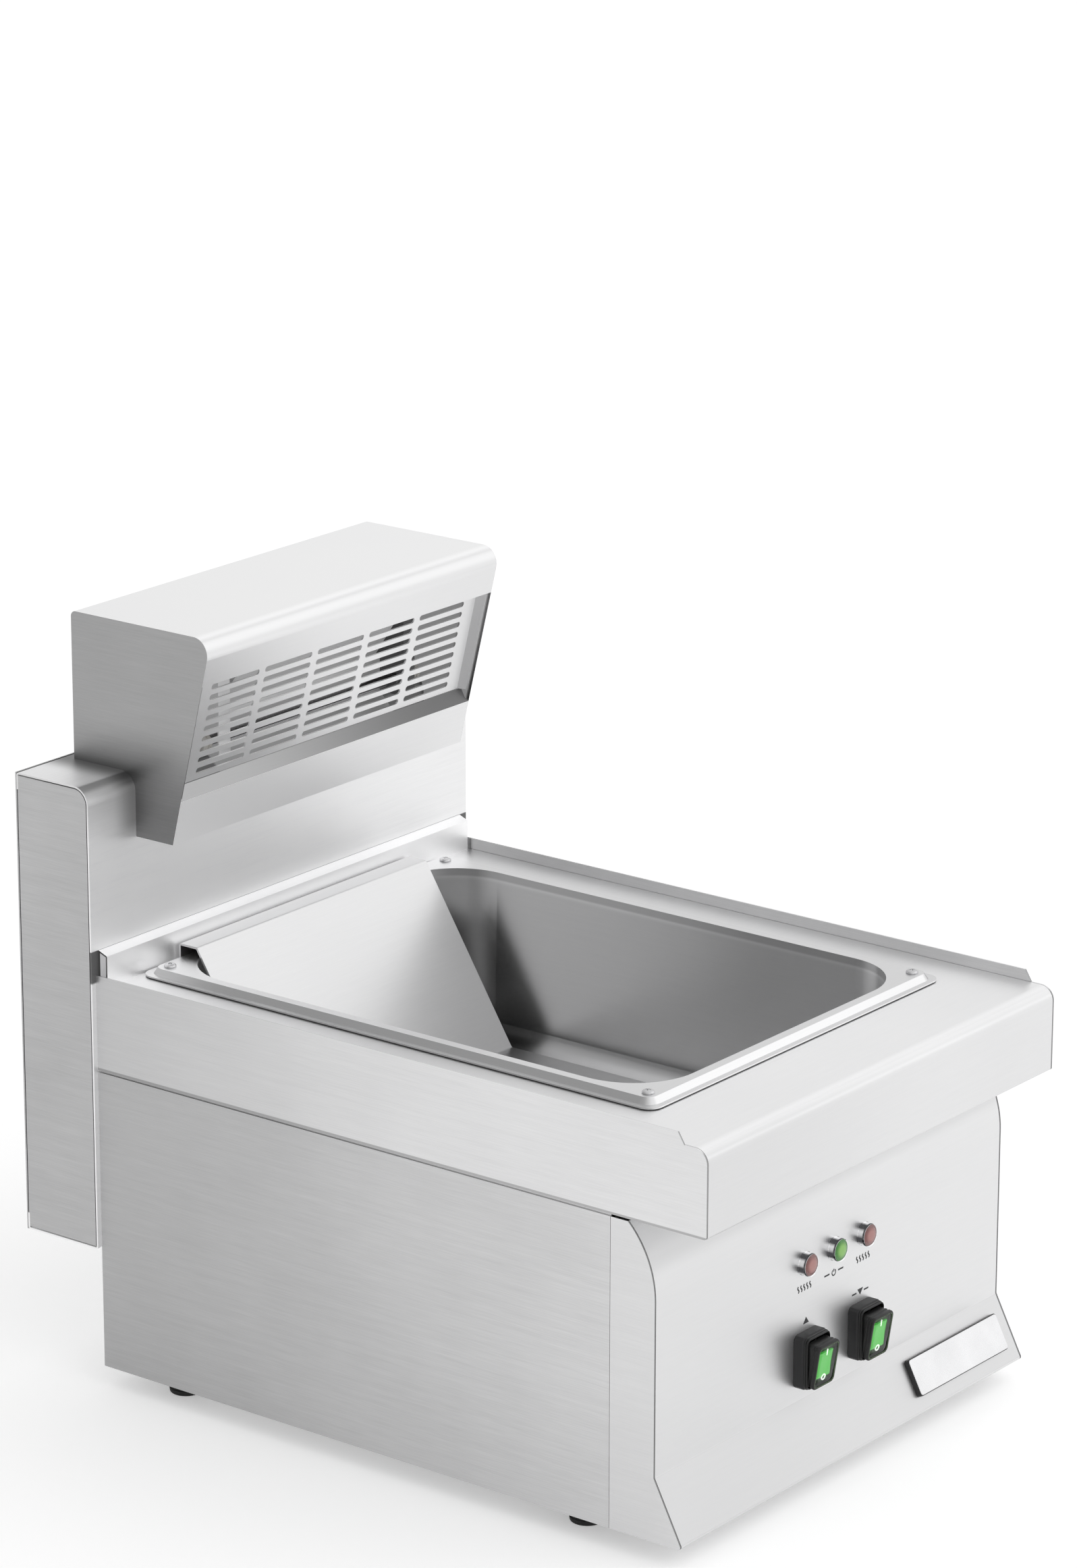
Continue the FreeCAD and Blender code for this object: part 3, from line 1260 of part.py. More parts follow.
def make_wiring():
    half = "terminal_width / 2"
    block = box("terminal_bar", (f"-{half}", half),
                ("terminal_y - terminal_depth / 2", "terminal_y + terminal_depth / 2"),
                ("tray_z", "tray_z + terminal_height"))
    wells = []
    pitch = "terminal_width / terminal_ways"
    for way in range(SIZES["terminal_ways"]):
        centre = f"-{half} + {pitch} * ({way} + 1 / 2)"
        wells.append(box(f"terminal_well_{way}",
                         (f"{centre} - terminal_notch / 2", f"{centre} + terminal_notch / 2"),
                         ("terminal_y - terminal_notch / 2", "terminal_y + terminal_notch / 2"),
                         ("tray_z + terminal_height / 2", "tray_z + terminal_height + cut_overrun")))
    sub_part("terminal_block", cut("welled_bar", block, *wells))

    front_run = tube("front_loom", "side", "0", [
        ("terminal_y - terminal_depth / 2", "loom_z"),
        ("face_y + loom_front_gap", "loom_z", "loom_bend"),
        ("face_y + loom_front_gap", "case_z + loom_front_rise"),
    ], "loom_radius")
    turn_y = "housing_y - 2 * loom_bend"
    back_run = tube("back_loom", "side", "0", [
        ("terminal_y + terminal_depth / 2", "loom_z"),
        (turn_y, "loom_z", "loom_bend"),
        (turn_y, "wire_hole_z", "loom_bend"),
        ("duct_y", "wire_hole_z", "loom_bend"),
        ("duct_y", "housing_top_z + loom_tail_rise"),
    ], "loom_radius")
    sub_part("wiring_loom", group("loom_runs", [front_run, back_run]))

    gland = turned("gland_blank", [
        ("gland_bore", "0"),
        ("gland_radius - seam_gap", "0"),
        ("gland_radius - seam_gap", "gland_nut_height"),
        ("gland_nut_radius", "gland_nut_height"),
        ("gland_nut_radius", "2 * gland_nut_height"),
        ("gland_radius", "2 * gland_nut_height"),
        ("gland_radius * 3 / 4", "gland_nut_height + gland_reach"),
        ("gland_bore", "gland_nut_height + gland_reach"),
    ], ("gland_offset", "housing_y - gland_nut_height", "gland_z"), "y")
    sub_part("cable_gland", gland)


make_case()
make_worktop()
make_housing()
make_hood()
make_basin()
make_screws()
make_insert()
make_pilots()
for switch_name, switch_x in (("up", "-switch_offset"), ("down", "switch_offset")):
    make_switch(switch_name, switch_x)
make_name_plate()
make_feet()
make_wiring()
doc.recompute()

failed = [f"{thing.Label} ({thing.getStatusString()})" for thing in doc.Objects
          if "Invalid" in thing.State or "Error" in thing.State]
if failed:
    raise RuntimeError("objects that failed: " + ", ".join(failed))
os.makedirs("parts", exist_ok=True)
for thing in SUB_PARTS:
    shape = thing.Shape
    if shape.isNull() or not shape.isValid() or not shape.Solids:
        raise RuntimeError(thing.Label + " has no sound solid")
    shape.exportStep(f"parts/{thing.Label}.step")
print(len(SUB_PARTS), "sub-parts written")
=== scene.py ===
import math

import bmesh
import bpy
from mathutils import Matrix, Vector


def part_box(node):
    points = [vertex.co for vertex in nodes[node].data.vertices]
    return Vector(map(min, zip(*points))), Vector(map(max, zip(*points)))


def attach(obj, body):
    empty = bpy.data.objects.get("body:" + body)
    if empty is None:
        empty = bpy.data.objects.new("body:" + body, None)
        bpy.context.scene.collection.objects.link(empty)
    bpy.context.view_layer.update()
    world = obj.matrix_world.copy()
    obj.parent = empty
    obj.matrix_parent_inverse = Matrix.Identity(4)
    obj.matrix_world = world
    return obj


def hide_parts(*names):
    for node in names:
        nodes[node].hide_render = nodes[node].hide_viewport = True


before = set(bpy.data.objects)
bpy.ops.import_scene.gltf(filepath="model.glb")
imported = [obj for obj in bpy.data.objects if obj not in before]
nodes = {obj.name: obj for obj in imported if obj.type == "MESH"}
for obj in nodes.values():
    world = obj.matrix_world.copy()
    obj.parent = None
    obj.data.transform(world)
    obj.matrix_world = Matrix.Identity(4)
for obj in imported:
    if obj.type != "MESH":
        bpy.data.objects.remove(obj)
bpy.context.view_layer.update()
millimetre = 0.001
print("frame loaded:", len(nodes), "CAD nodes")


# Camera, floor and light

cameraView = {
    "place": (-2.8648, -2.2204, 1.5372),
    "right": (0.612434, -0.790521, 0.00102),
    "up": (0.230248, 0.179612, 0.956413),
    "back": (-0.756248, -0.585505, 0.292016),
    "lens": 128.74,
    "sensor": 36.0,
}
studio = {
    "skyDim": 0.464,
    "skyBright": 0.928,
    "skyReach": 0.9,
    "brightSide": (0.62, -0.66, 0.42),
    "floorColour": (0.88, 0.88, 0.88),
    "floorGlow": 0.34,
    "floorShine": 0.2,
    "floorSize": 30.0,
    "lampAim": (0, 0, 0.25),
    "keyPlace": (3.0, -2.8, 3.2),
    "keyPower": 20.0,
    "keySize": 5.0,
    "fillPlace": (-2.2, -2.6, 2.4),
    "fillPower": 5.0,
    "fillSize": 4.0,
}


def addNode(tree, kind, **settings):
    made = tree.nodes.new(kind)
    for name, value in settings.items():
        setattr(made, name, value)
    return made


def feed(tree, node, socket, source):
    if isinstance(source, bpy.types.NodeSocket):
        tree.links.new(source, node.inputs[socket])
    else:
        node.inputs[socket].default_value = source


def calc(tree, operation, first, second=None, third=None, clamp=False):
    made = addNode(tree, "ShaderNodeMath", operation=operation, use_clamp=clamp)
    for index, source in enumerate((first, second, third)):
        if source is not None:
            feed(tree, made, index, source)
    return made.outputs[0]


def blendValues(tree, factor, first, second):
    made = addNode(tree, "ShaderNodeMix")
    for socket, source in (("Factor", factor), ("A", first), ("B", second)):
        feed(tree, made, socket, source)
    return made.outputs["Result"]


def smoothStep(tree, value, low, high, atLow=0.0, atHigh=1.0):
    # eases from one value to another between two levels
    made = addNode(tree, "ShaderNodeMapRange", interpolation_type="SMOOTHSTEP")
    for socket, source in (("Value", value), ("From Min", low), ("From Max", high),
                           ("To Min", atLow), ("To Max", atHigh)):
        feed(tree, made, socket, source)
    return made.outputs["Result"]


def addObject(name, data):
    made = bpy.data.objects.new(name, data)
    bpy.context.scene.collection.objects.link(made)
    return made


def placeCamera():
    data = bpy.data.cameras.new("photoCamera")
    data.lens = cameraView["lens"]
    data.sensor_width = cameraView["sensor"]
    camera = addObject("photoCamera", data)
    axes = [Vector(cameraView[side]).normalized() for side in ("right", "up", "back")]
    turn = Matrix(axes).transposed().to_4x4()
    camera.matrix_world = Matrix.Translation(cameraView["place"]) @ turn
    bpy.context.scene.camera = camera


def seenRays(tree):
    # 1 for the rays that should meet the white background: seen directly or through glass
    path = addNode(tree, "ShaderNodeLightPath").outputs
    return calc(tree, "MAXIMUM", path["Is Camera Ray"], path["Is Transmission Ray"])


def makeSky():
    world = bpy.data.worlds.new("studioSky")
    world.use_nodes = True
    bpy.context.scene.world = world
    tree = world.node_tree
    tree.nodes.clear()
    facing = addNode(tree, "ShaderNodeVectorMath", operation="DOT_PRODUCT")
    feed(tree, facing, 0, addNode(tree, "ShaderNodeTexCoord").outputs["Generated"])
    feed(tree, facing, 1, Vector(studio["brightSide"]).normalized())
    spread = smoothStep(tree, facing.outputs["Value"], -studio["skyReach"], studio["skyReach"],
                        studio["skyDim"], studio["skyBright"])
    shade = addNode(tree, "ShaderNodeBackground")
    feed(tree, shade, "Color", (1, 1, 1, 1))
    feed(tree, shade, "Strength", blendValues(tree, seenRays(tree), spread, 1.0))
    out = addNode(tree, "ShaderNodeOutputWorld")
    tree.links.new(shade.outputs[0], out.inputs["Surface"])


def makeFloor():
    half = studio["floorSize"] / 2
    mesh = bpy.data.meshes.new("studioFloor")
    mesh.from_pydata([(-half, -half, 0), (half, -half, 0), (half, half, 0), (-half, half, 0)],
                     [], [(0, 1, 2, 3)])
    floor = addObject("studioFloor", mesh)
    paint = bpy.data.materials.new("paleFloor")
    paint.use_nodes = True
    tree = paint.node_tree
    tree.nodes.clear()
    seen = calc(tree, "MULTIPLY", seenRays(tree), studio["floorGlow"])
    mirrored = addNode(tree, "ShaderNodeLightPath").outputs["Is Glossy Ray"]
    shine = calc(tree, "MULTIPLY", mirrored, studio["floorShine"])
    matt = addNode(tree, "ShaderNodeBsdfDiffuse")
    feed(tree, matt, "Color", (*studio["floorColour"], 1))
    glow = addNode(tree, "ShaderNodeEmission")
    feed(tree, glow, "Strength", calc(tree, "MAXIMUM", seen, shine))
    both = addNode(tree, "ShaderNodeAddShader")
    tree.links.new(matt.outputs[0], both.inputs[0])
    tree.links.new(glow.outputs[0], both.inputs[1])
    out = addNode(tree, "ShaderNodeOutputMaterial")
    tree.links.new(both.outputs[0], out.inputs["Surface"])
    mesh.materials.append(paint)


def makeLamp(name, place, power, size):
    data = bpy.data.lights.new(name, "AREA")
    data.shape = "DISK"
    data.energy = power
    data.size = size
    lamp = addObject(name, data)
    lamp.location = place
    aim = Vector(studio["lampAim"]) - Vector(place)
    lamp.rotation_euler = aim.to_track_quat("-Z", "Y").to_euler()


placeCamera()
makeSky()
makeFloor()
makeLamp("keyLamp", studio["keyPlace"], studio["keyPower"], studio["keySize"])
makeLamp("fillLamp", studio["fillPlace"], studio["fillPower"], studio["fillSize"])
bpy.context.scene.view_settings.view_transform = "Standard"
print("camera, floor and light made")


# Effects shared by the materials

def newGroup(name, inputs, outputs):
    tree = bpy.data.node_groups.new(name, "ShaderNodeTree")
    for label, value in inputs.items():
        socket = tree.interface.new_socket(name=label, in_out="INPUT", socket_type="NodeSocketFloat")
        socket.default_value = value
    for label in outputs:
        tree.interface.new_socket(name=label, in_out="OUTPUT", socket_type="NodeSocketFloat")
    return tree, addNode(tree, "NodeGroupInput").outputs, addNode(tree, "NodeGroupOutput")


def noiseOf(tree, place, scale, detail, roughness):
    noise = addNode(tree, "ShaderNodeTexNoise")
    for socket, source in (("Vector", place), ("Scale", scale), ("Detail", detail), ("Roughness", roughness)):
        feed(tree, noise, socket, source)
    return noise.outputs["Fac"]


def joinPlace(tree, x, y, z):
    made = addNode(tree, "ShaderNodeCombineXYZ")
    for socket, source in (("X", x), ("Y", y), ("Z", z)):
        feed(tree, made, socket, source)
    return made.outputs[0]


def axesOf(tree, source):
    # X, Y and Z of a texture coordinate
    axes = addNode(tree, "ShaderNodeSeparateXYZ")
    tree.links.new(addNode(tree, "ShaderNodeTexCoord").outputs[source], axes.inputs[0])
    return axes.outputs


def makeBrushedGrain():
    # streaks that run level round the upright faces and across the flat ones
    tree, given, out = newGroup(
        "brushedGrain", {"Streak Length": 0.03, "Streak Width": 0.0007}, ("Streak", "Height"))
    spot, facing = axesOf(tree, "Object"), axesOf(tree, "Normal")
    flat = calc(tree, "GREATER_THAN", calc(tree, "ABSOLUTE", facing["Z"]), 0.8)
    along = blendValues(tree, flat, calc(tree, "ADD", spot["X"], spot["Y"]), spot["X"])
    across = blendValues(tree, flat, spot["Z"], spot["Y"])

    def streaks(longer, wider, detail, roughness):
        length = calc(tree, "MULTIPLY", given["Streak Length"], longer)
        width = calc(tree, "MULTIPLY", given["Streak Width"], wider)
        stretched = (calc(tree, "DIVIDE", along, length), calc(tree, "DIVIDE", across, width))
        return noiseOf(tree, joinPlace(tree, *stretched, flat), 1.0, detail, roughness)

    thin = streaks(1.0, 1.0, 3.0, 0.6)
    broad = streaks(4.0, 5.0, 2.0, 0.5)
    tree.links.new(blendValues(tree, 0.35, thin, broad), out.inputs["Streak"])
    tree.links.new(thin, out.inputs["Height"])
    return tree


def makeHandling():
    # broad, faint changes left by wiping and handling
    tree, given, out = newGroup("handlingMarks", {"Patch Size": 0.12}, ("Patch", "Fleck"))
    spot = addNode(tree, "ShaderNodeTexCoord").outputs["Object"]
    wide = noiseOf(tree, spot, calc(tree, "DIVIDE", 1.0, given["Patch Size"]), 3.0, 0.55)
    fleck = noiseOf(tree, spot, calc(tree, "DIVIDE", 30.0, given["Patch Size"]), 2.0, 0.6)
    tree.links.new(wide, out.inputs["Patch"])
    tree.links.new(fleck, out.inputs["Fleck"])
    return tree


def makeMouldedSkin():
    # the fine pebbled skin of moulded rubber and plastic, with dust in it
    tree, given, out = newGroup("mouldedSkin", {"Pebble Size": 0.0006}, ("Pebble", "Dust"))
    spot = addNode(tree, "ShaderNodeTexCoord").outputs["Object"]
    cells = addNode(tree, "ShaderNodeTexVoronoi")
    feed(tree, cells, "Vector", spot)
    feed(tree, cells, "Scale", calc(tree, "DIVIDE", 1.0, given["Pebble Size"]))
    tree.links.new(cells.outputs["Distance"], out.inputs["Pebble"])
    dust = noiseOf(tree, spot, calc(tree, "DIVIDE", 0.06, given["Pebble Size"]), 4.0, 0.6)
    tree.links.new(calc(tree, "MULTIPLY_ADD", dust, 2.4, -0.9, clamp=True), out.inputs["Dust"])
    return tree


brushedGrain = makeBrushedGrain()
handlingMarks = makeHandling()
mouldedSkin = makeMouldedSkin()


def useGroup(tree, group, **values):
    made = addNode(tree, "ShaderNodeGroup", node_tree=group)
    for label, value in values.items():
        made.inputs[label.replace("_", " ")].default_value = value
    return made.outputs


def newPaint(name, **fixed):
    paint = bpy.data.materials.new(name)
    paint.use_nodes = True
    shader = paint.node_tree.nodes["Principled BSDF"]
    for label, value in fixed.items():
        shader.inputs[label.replace("_", " ")].default_value = value
    return paint, paint.node_tree, shader


def mixShades(tree, factor, first, second):
    made = addNode(tree, "ShaderNodeMix", data_type="RGBA")
    colours = [socket for socket in made.inputs if socket.type == "RGBA"]
    feed(tree, made, "Factor", factor)
    for socket, source in zip(colours, (first, second)):
        if isinstance(source, bpy.types.NodeSocket):
            tree.links.new(source, socket)
        else:
            socket.default_value = source
    return [socket for socket in made.outputs if socket.type == "RGBA"][0]


def shadeBetween(tree, shader, factor, dark, light):
    tree.links.new(mixShades(tree, factor, (*dark, 1), (*light, 1)), shader.inputs["Base Color"])


def roughBetween(tree, shader, factor, low, high):
    tree.links.new(blendValues(tree, factor, low, high), shader.inputs["Roughness"])


def bumpFrom(tree, shader, height, strength, distance):
    bump = addNode(tree, "ShaderNodeBump")
    feed(tree, bump, "Strength", strength)
    feed(tree, bump, "Distance", distance)
    tree.links.new(height, bump.inputs["Height"])
    tree.links.new(bump.outputs["Normal"], shader.inputs["Normal"])


def glowAsShaded(tree, shader):
    # the light given off has the surface's own colour
    tree.links.new(shader.inputs["Base Color"].links[0].from_socket, shader.inputs["Emission Color"])


# The finishes

# length and width of the streaks, in metres
brushes = {
    "long": (0.030, 0.0007),
    "front": (0.022, 0.0006),
    "hood": (0.026, 0.0006),
    "short": (0.020, 0.0006),
    "coarse": (0.030, 0.0008),
}
steelSurface = {
    "patchSize": 0.16,
    "patchShare": 0.4,
    "contrast": 3.0,
    "contrastLevel": -1.0,
    # blue against the grey, in the dark and the light streaks
    "darkBlue": 1.006,
    "lightBlue": 1.004,
    "bump": 0.12,
    "bumpDepth": 0.00003,
}
# a tone is painted light and shade, given as (measure, start, end, share of the grey that is left after the
# end), with a measure, start and end after it for a mask where only a part of the sheet takes it
# each sheet's grey is set to how bright its face shows under this light, so the lower greys of the side
# sheets are partly painted shade
steelFinishAndPaintedLight = {
    # painted shade: darker towards the back
    "panelSteel": dict(grey=0.75, spread=0.1, rough=(0.34, 0.44), brush="long",
                       paintedTones=(("Object Y", -0.25, 0.24, 0.667),)),
    # painted shade: darker towards the back, a painted shadow line along the bottom hem, darker front-facing
    # edges
    "skirtSteel": dict(grey=0.86, spread=0.07, rough=(0.34, 0.44), brush="long",
                       paintedTones=(("Object Y", -0.15, 0.26, 0.7), ("Object Z", 0.235, 0.2342, 0.6),
                              ("Normal Y", -0.4, -0.8, 0.4))),
    # painted light and shade: the top darker behind its front strip, a painted dark band on the front
    # rounding, the front lip darker towards the left
    "topSteel": dict(grey=0.98, spread=0.025, rough=(0.32, 0.4), brush="front",
                     paintedTones=(("Object Y", -0.235, -0.16, 0.87), ("Normal Y", -0.4, -0.8, 0.87),
                            ("Normal Z", 0.97, 0.82, 0.86), ("Normal Z", 0.62, 0.4, 1.16),
                            ("Object X", 0.1, -0.2, 0.93, "Normal Y", -0.4, -0.8))),
    # painted shade: up-facing faces darker, darker towards the left, and painted dark lines along the side
    # edges
    "frontSteel": dict(grey=0.86, spread=0.02, rough=(0.36, 0.44), brush="front",
                       paintedTones=(("Normal Z", 0.2, 0.4, 0.855), ("Object X", 0.15, -0.2, 0.95),
                              ("Normal X", -0.5, -0.9, 0.3), ("Normal X", 0.5, 0.9, 0.3))),
    # painted light and shade: the front rounding's highlight dimmed, the front band darker towards the right,
    # and a faint painted glow
    "hoodSteel": dict(grey=1.0, spread=0.015, rough=(0.34, 0.42), brush="hood",
                      paintedTones=(("Normal Z", 0.97, 0.78, 0.76), ("Normal Z", 0.35, -0.1, 1.14),
                             ("Object X", -0.02, 0.15, 0.93, "Normal Z", 0.2, 0.0)), glow=0.055),
    # painted shade: a low grey for the shaded sides, darker towards the bottom
    "hoodSideSteel": dict(grey=0.42, spread=0.1, rough=(0.34, 0.42), brush="hood",
                          paintedTones=(("Object Z", 0.475, 0.405, 0.48),)),
    # painted shade: a low grey for the shaded sides
    "housingSteel": dict(grey=0.54, spread=0.12, rough=(0.34, 0.44), brush="long"),
    # painted shade: dark front-facing edges
    "cheekSteel": dict(grey=0.82, spread=0.05, rough=(0.34, 0.44), brush="long",
                       paintedTones=(("Normal Y", -0.4, -0.8, 0.3),)),
    # painted light and shade: a faint painted glow, darker high up, shading by facing, the sloped middle
    # darker near the hood, a dark painted shadow band near the foot, darker to the right and on back-facing
    # faces
    "splashSteel": dict(grey=0.88, spread=0.045, rough=(0.42, 0.52), brush="long", glow=0.15,
                        paintedTones=(("Object Z", 0.395, 0.425, 0.8), ("Normal Z", 0.15, 0.5, 0.9),
                               ("Normal Z", 0.6, 0.85, 0.62), ("Normal Z", 0.94, 0.995, 2.15),
                               ("Object X", -0.186, -0.158, 0.5, "Normal Z", 0.3, 0.6),
                               ("Object X", -0.18, -0.157, 0.5, "Object Z", 0.385, 0.402),
                               ("Object X", 0.158, 0.186, 2.0, "Normal Z", 0.3, 0.6),
                               ("Object X", 0.157, 0.18, 2.0, "Object Z", 0.385, 0.402),
                               ("Object Z", 0.3186, 0.3178, 0.18, "Object Z", 0.2945, 0.2965),
                               ("Object X", 0.06, 0.2, 0.93), ("Normal Y", 0.5, 0.9, 0.45))),
    # painted light and shade: a faint painted glow, and painted shade on the end faces of the channel
    "upstandSteel": dict(grey=0.92, spread=0.045, rough=(0.38, 0.48), brush="long", glow=0.12,
                         paintedTones=(("Normal X", -0.5, -0.9, 0.16), ("Normal X", 0.5, 0.9, 0.16))),
    # painted shade: darker below the rim and on the rim's outer side
    "basinSteel": dict(grey=0.8, spread=0.03, rough=(0.26, 0.34), brush="short",
                       paintedTones=(("Object Z", 0.2945, 0.29, 0.8),
                              ("Normal X", -0.4, -0.8, 0.66, "Object Z", 0.2925, 0.2945),)),
    # painted light and shade: a painted glow, painted shade on the up-facing ledge that deepens towards the
    # right, and the front darker towards the right
    "apronSteel": dict(grey=0.94, spread=0.03, rough=(0.38, 0.46), brush="hood", glow=0.2,
                       paintedTones=(("Normal Z", 0.1, 0.3, 0.38),
                              ("Object X", -0.12, 0.14, 0.4, "Normal Z", 0.1, 0.3),
                              ("Object X", -0.1, 0.13, 0.78, "Normal Z", 0.05, -0.05))),
    "insertSteel": dict(grey=0.7, spread=0.03, rough=(0.3, 0.38), brush="short"),
    # painted light and shade: a painted glow, darker low down
    "reflectorSteel": dict(grey=0.7, spread=0.02, rough=(0.4, 0.5), brush="coarse", glow=0.19,
                           paintedTones=(("Object Z", 0.452, 0.438, 0.72),)),
    # painted light and shade: a painted glow, with the right-hand bracket painted dark
    "bracketSteel": dict(grey=0.62, spread=0.03, rough=(0.4, 0.5), brush="coarse", glow=0.24,
                         paintedTones=(("Object X", -0.05, 0.05, 0.15),)),
    # a painted glow on the linings inside the hood sides
    "shadedSteel": dict(grey=0.6, spread=0.04, rough=(0.4, 0.5), brush="hood", glow=0.22),
    "innerSteel": dict(grey=0.55, spread=0.04, rough=(0.38, 0.5), brush="coarse"),
}
plainMetals = {
    "screwSteel": dict(grey=(0.66, 0.66, 0.67), rough=(0.14, 0.24), patch=0.004),
    "plateSilver": dict(grey=(0.88, 0.88, 0.89), rough=(0.24, 0.32), patch=0.03),
    "zincPlate": dict(grey=(0.56, 0.57, 0.58), rough=(0.3, 0.42), patch=0.006),
    "sheathMetal": dict(grey=(0.16, 0.145, 0.13), rough=(0.42, 0.58), patch=0.01),
}
mouldings = {
    "switchBlack": dict(dark=(0.005, 0.005, 0.006), light=(0.014, 0.014, 0.015), rough=(0.46, 0.6), bump=0.1),
    "bootRubber": dict(dark=(0.006, 0.006, 0.006), light=(0.014, 0.015, 0.014), rough=(0.4, 0.56), bump=0.12),
    "footRubber": dict(dark=(0.01, 0.01, 0.01), light=(0.03, 0.03, 0.029), rough=(0.55, 0.72), bump=0.25),
    "plateEdge": dict(dark=(0.008, 0.008, 0.008), light=(0.02, 0.02, 0.02), rough=(0.3, 0.42), bump=0.06),
    # painted glint: olive green round the window's rim, where the clear cover catches light
    "windowEdge": dict(dark=(0.06, 0.105, 0.045), light=(0.11, 0.17, 0.08), rough=(0.18, 0.28), bump=0.02),
    "rockerBed": dict(dark=(0.006, 0.022, 0.006), light=(0.012, 0.045, 0.012), rough=(0.3, 0.42), bump=0.05),
    "ceramicWhite": dict(dark=(0.62, 0.6, 0.56), light=(0.78, 0.77, 0.74), rough=(0.45, 0.6), bump=0.15),
    "nylonWhite": dict(dark=(0.66, 0.66, 0.63), light=(0.8, 0.8, 0.78), rough=(0.4, 0.52), bump=0.08),
    "sleeveGrey": dict(dark=(0.05, 0.05, 0.055), light=(0.09, 0.09, 0.1), rough=(0.48, 0.6), bump=0.15),
    "markInk": dict(dark=(0.03, 0.03, 0.032), light=(0.055, 0.055, 0.058), rough=(0.45, 0.6), bump=0.05),
    "sealGrey": dict(dark=(0.1, 0.1, 0.1), light=(0.16, 0.16, 0.16), rough=(0.55, 0.7), bump=0.15),
}
paints = {}


def makeSteel(name, grey, spread, rough, brush, paintedTones=(), glow=0.0):
    surface = steelSurface
    streak, width = brushes[brush]
    paint, tree, shader = newPaint(name, Metallic=1.0, Emission_Strength=glow)
    grain = useGroup(tree, brushedGrain, Streak_Length=streak, Streak_Width=width)
    marks = useGroup(tree, handlingMarks, Patch_Size=surface["patchSize"])
    mixed = blendValues(tree, surface["patchShare"], grain["Streak"], marks["Patch"])
    dark, light = grey * (1 - spread), grey * (1 + spread)
    sharp = calc(tree, "MULTIPLY_ADD", mixed, surface["contrast"], surface["contrastLevel"], clamp=True)
    shade = mixShades(tree, sharp, (dark, dark, dark * surface["darkBlue"], 1),
                      (light, light, light * surface["lightBlue"], 1))
    for paintedTone in paintedTones:
        shade = paintLightAndShade(tree, shade, paintedTone[:3], paintedTone[3], paintedTone[4:])
    tree.links.new(shade, shader.inputs["Base Color"])
    if glow:  # painted glow, standing in for light that the bright sheets near it pass on to it
        glowAsShaded(tree, shader)
    roughBetween(tree, shader, mixed, *rough)
    bumpFrom(tree, shader, grain["Height"], surface["bump"], surface["bumpDepth"])
    paints[name] = paint


def passFrom(tree, measure, start, end):
    # 0 before the start, 1 after the end, whichever of them is the higher
    source, axis = measure.split()
    value = axesOf(tree, source)[axis]
    return smoothStep(tree, value, min(start, end), max(start, end), float(start > end), float(start < end))


def paintLightAndShade(tree, shade, reach, share, mask):
    # painted light and shade: a slow change of brightness along the sheet, from its own value to a share of
    # it
    level = passFrom(tree, *reach)
    if mask:
        level = calc(tree, "MULTIPLY", level, passFrom(tree, *mask))
    scaled = addNode(tree, "ShaderNodeVectorMath", operation="SCALE")
    tree.links.new(shade, scaled.inputs[0])
    tree.links.new(calc(tree, "MULTIPLY_ADD", level, share - 1.0, 1.0), scaled.inputs["Scale"])
    return scaled.outputs[0]


metalSurface = {
    "darkShare": 0.86,
    "lightShare": 1.1,
    "bump": 0.08,
    "bumpDepth": 0.00002,
}


def makeMetal(name, grey, rough, patch):
    surface = metalSurface
    paint, tree, shader = newPaint(name, Metallic=1.0)
    marks = useGroup(tree, handlingMarks, Patch_Size=patch)
    shadeBetween(tree, shader, marks["Patch"], [g * surface["darkShare"] for g in grey],
                 [min(1, g * surface["lightShare"]) for g in grey])
    roughBetween(tree, shader, marks["Fleck"], *rough)
    bumpFrom(tree, shader, marks["Fleck"], surface["bump"], surface["bumpDepth"])
    paints[name] = paint


chromeReflectionPaint = {
    "dark": (0.09, 0.09, 0.095),
    "light": (0.94, 0.94, 0.95),
    "rough": (0.10, 0.18),
    "bands": 5.0,
    "phase": 0.4,
    "swing": 0.75,
    "level": 0.14,
    "patchSize": 0.006,
    "fleckShare": 0.5,
    # slope and level along the ring's depth, for the painted shadow where it meets the panel and the painted
    # highlight on its lip
    "groove": (8.0, -1.4),
    "lip": (-25.0, 2.0),
}


def makeChromeReflectionPaint(name):
    # painted reflections: bright and dark bands round the ring in place of what a polished ring reflects, and
    # a painted highlight on its front lip
    chrome = chromeReflectionPaint
    paint, tree, shader = newPaint(name, Metallic=1.0)
    axes = axesOf(tree, "Generated")
    upward, sideways = (calc(tree, "SUBTRACT", axes[axis], 0.5) for axis in "ZX")
    turn = calc(tree, "ARCTAN2", upward, sideways)
    wave = calc(tree, "SINE", calc(tree, "MULTIPLY_ADD", turn, chrome["bands"], chrome["phase"]))
    wave = calc(tree, "MULTIPLY_ADD", wave, chrome["swing"], chrome["level"])
    marks = useGroup(tree, handlingMarks, Patch_Size=chrome["patchSize"])
    soft = calc(tree, "MULTIPLY_ADD", marks["Fleck"], chrome["fleckShare"], wave, clamp=True)
    # painted shadow where the ring meets the panel, painted highlight on its front edge
    groove = calc(tree, "MULTIPLY_ADD", axes["Y"], *chrome["groove"], clamp=True)
    lip = calc(tree, "MULTIPLY_ADD", axes["Y"], *chrome["lip"], clamp=True)
    paintedBrightness = calc(tree, "MAXIMUM", calc(tree, "MULTIPLY", soft, groove), lip, clamp=True)
    shadeBetween(tree, shader, paintedBrightness, chrome["dark"], chrome["light"])
    roughBetween(tree, shader, marks["Fleck"], *chrome["rough"])
    paints[name] = paint


pebbleDepth = 0.00006


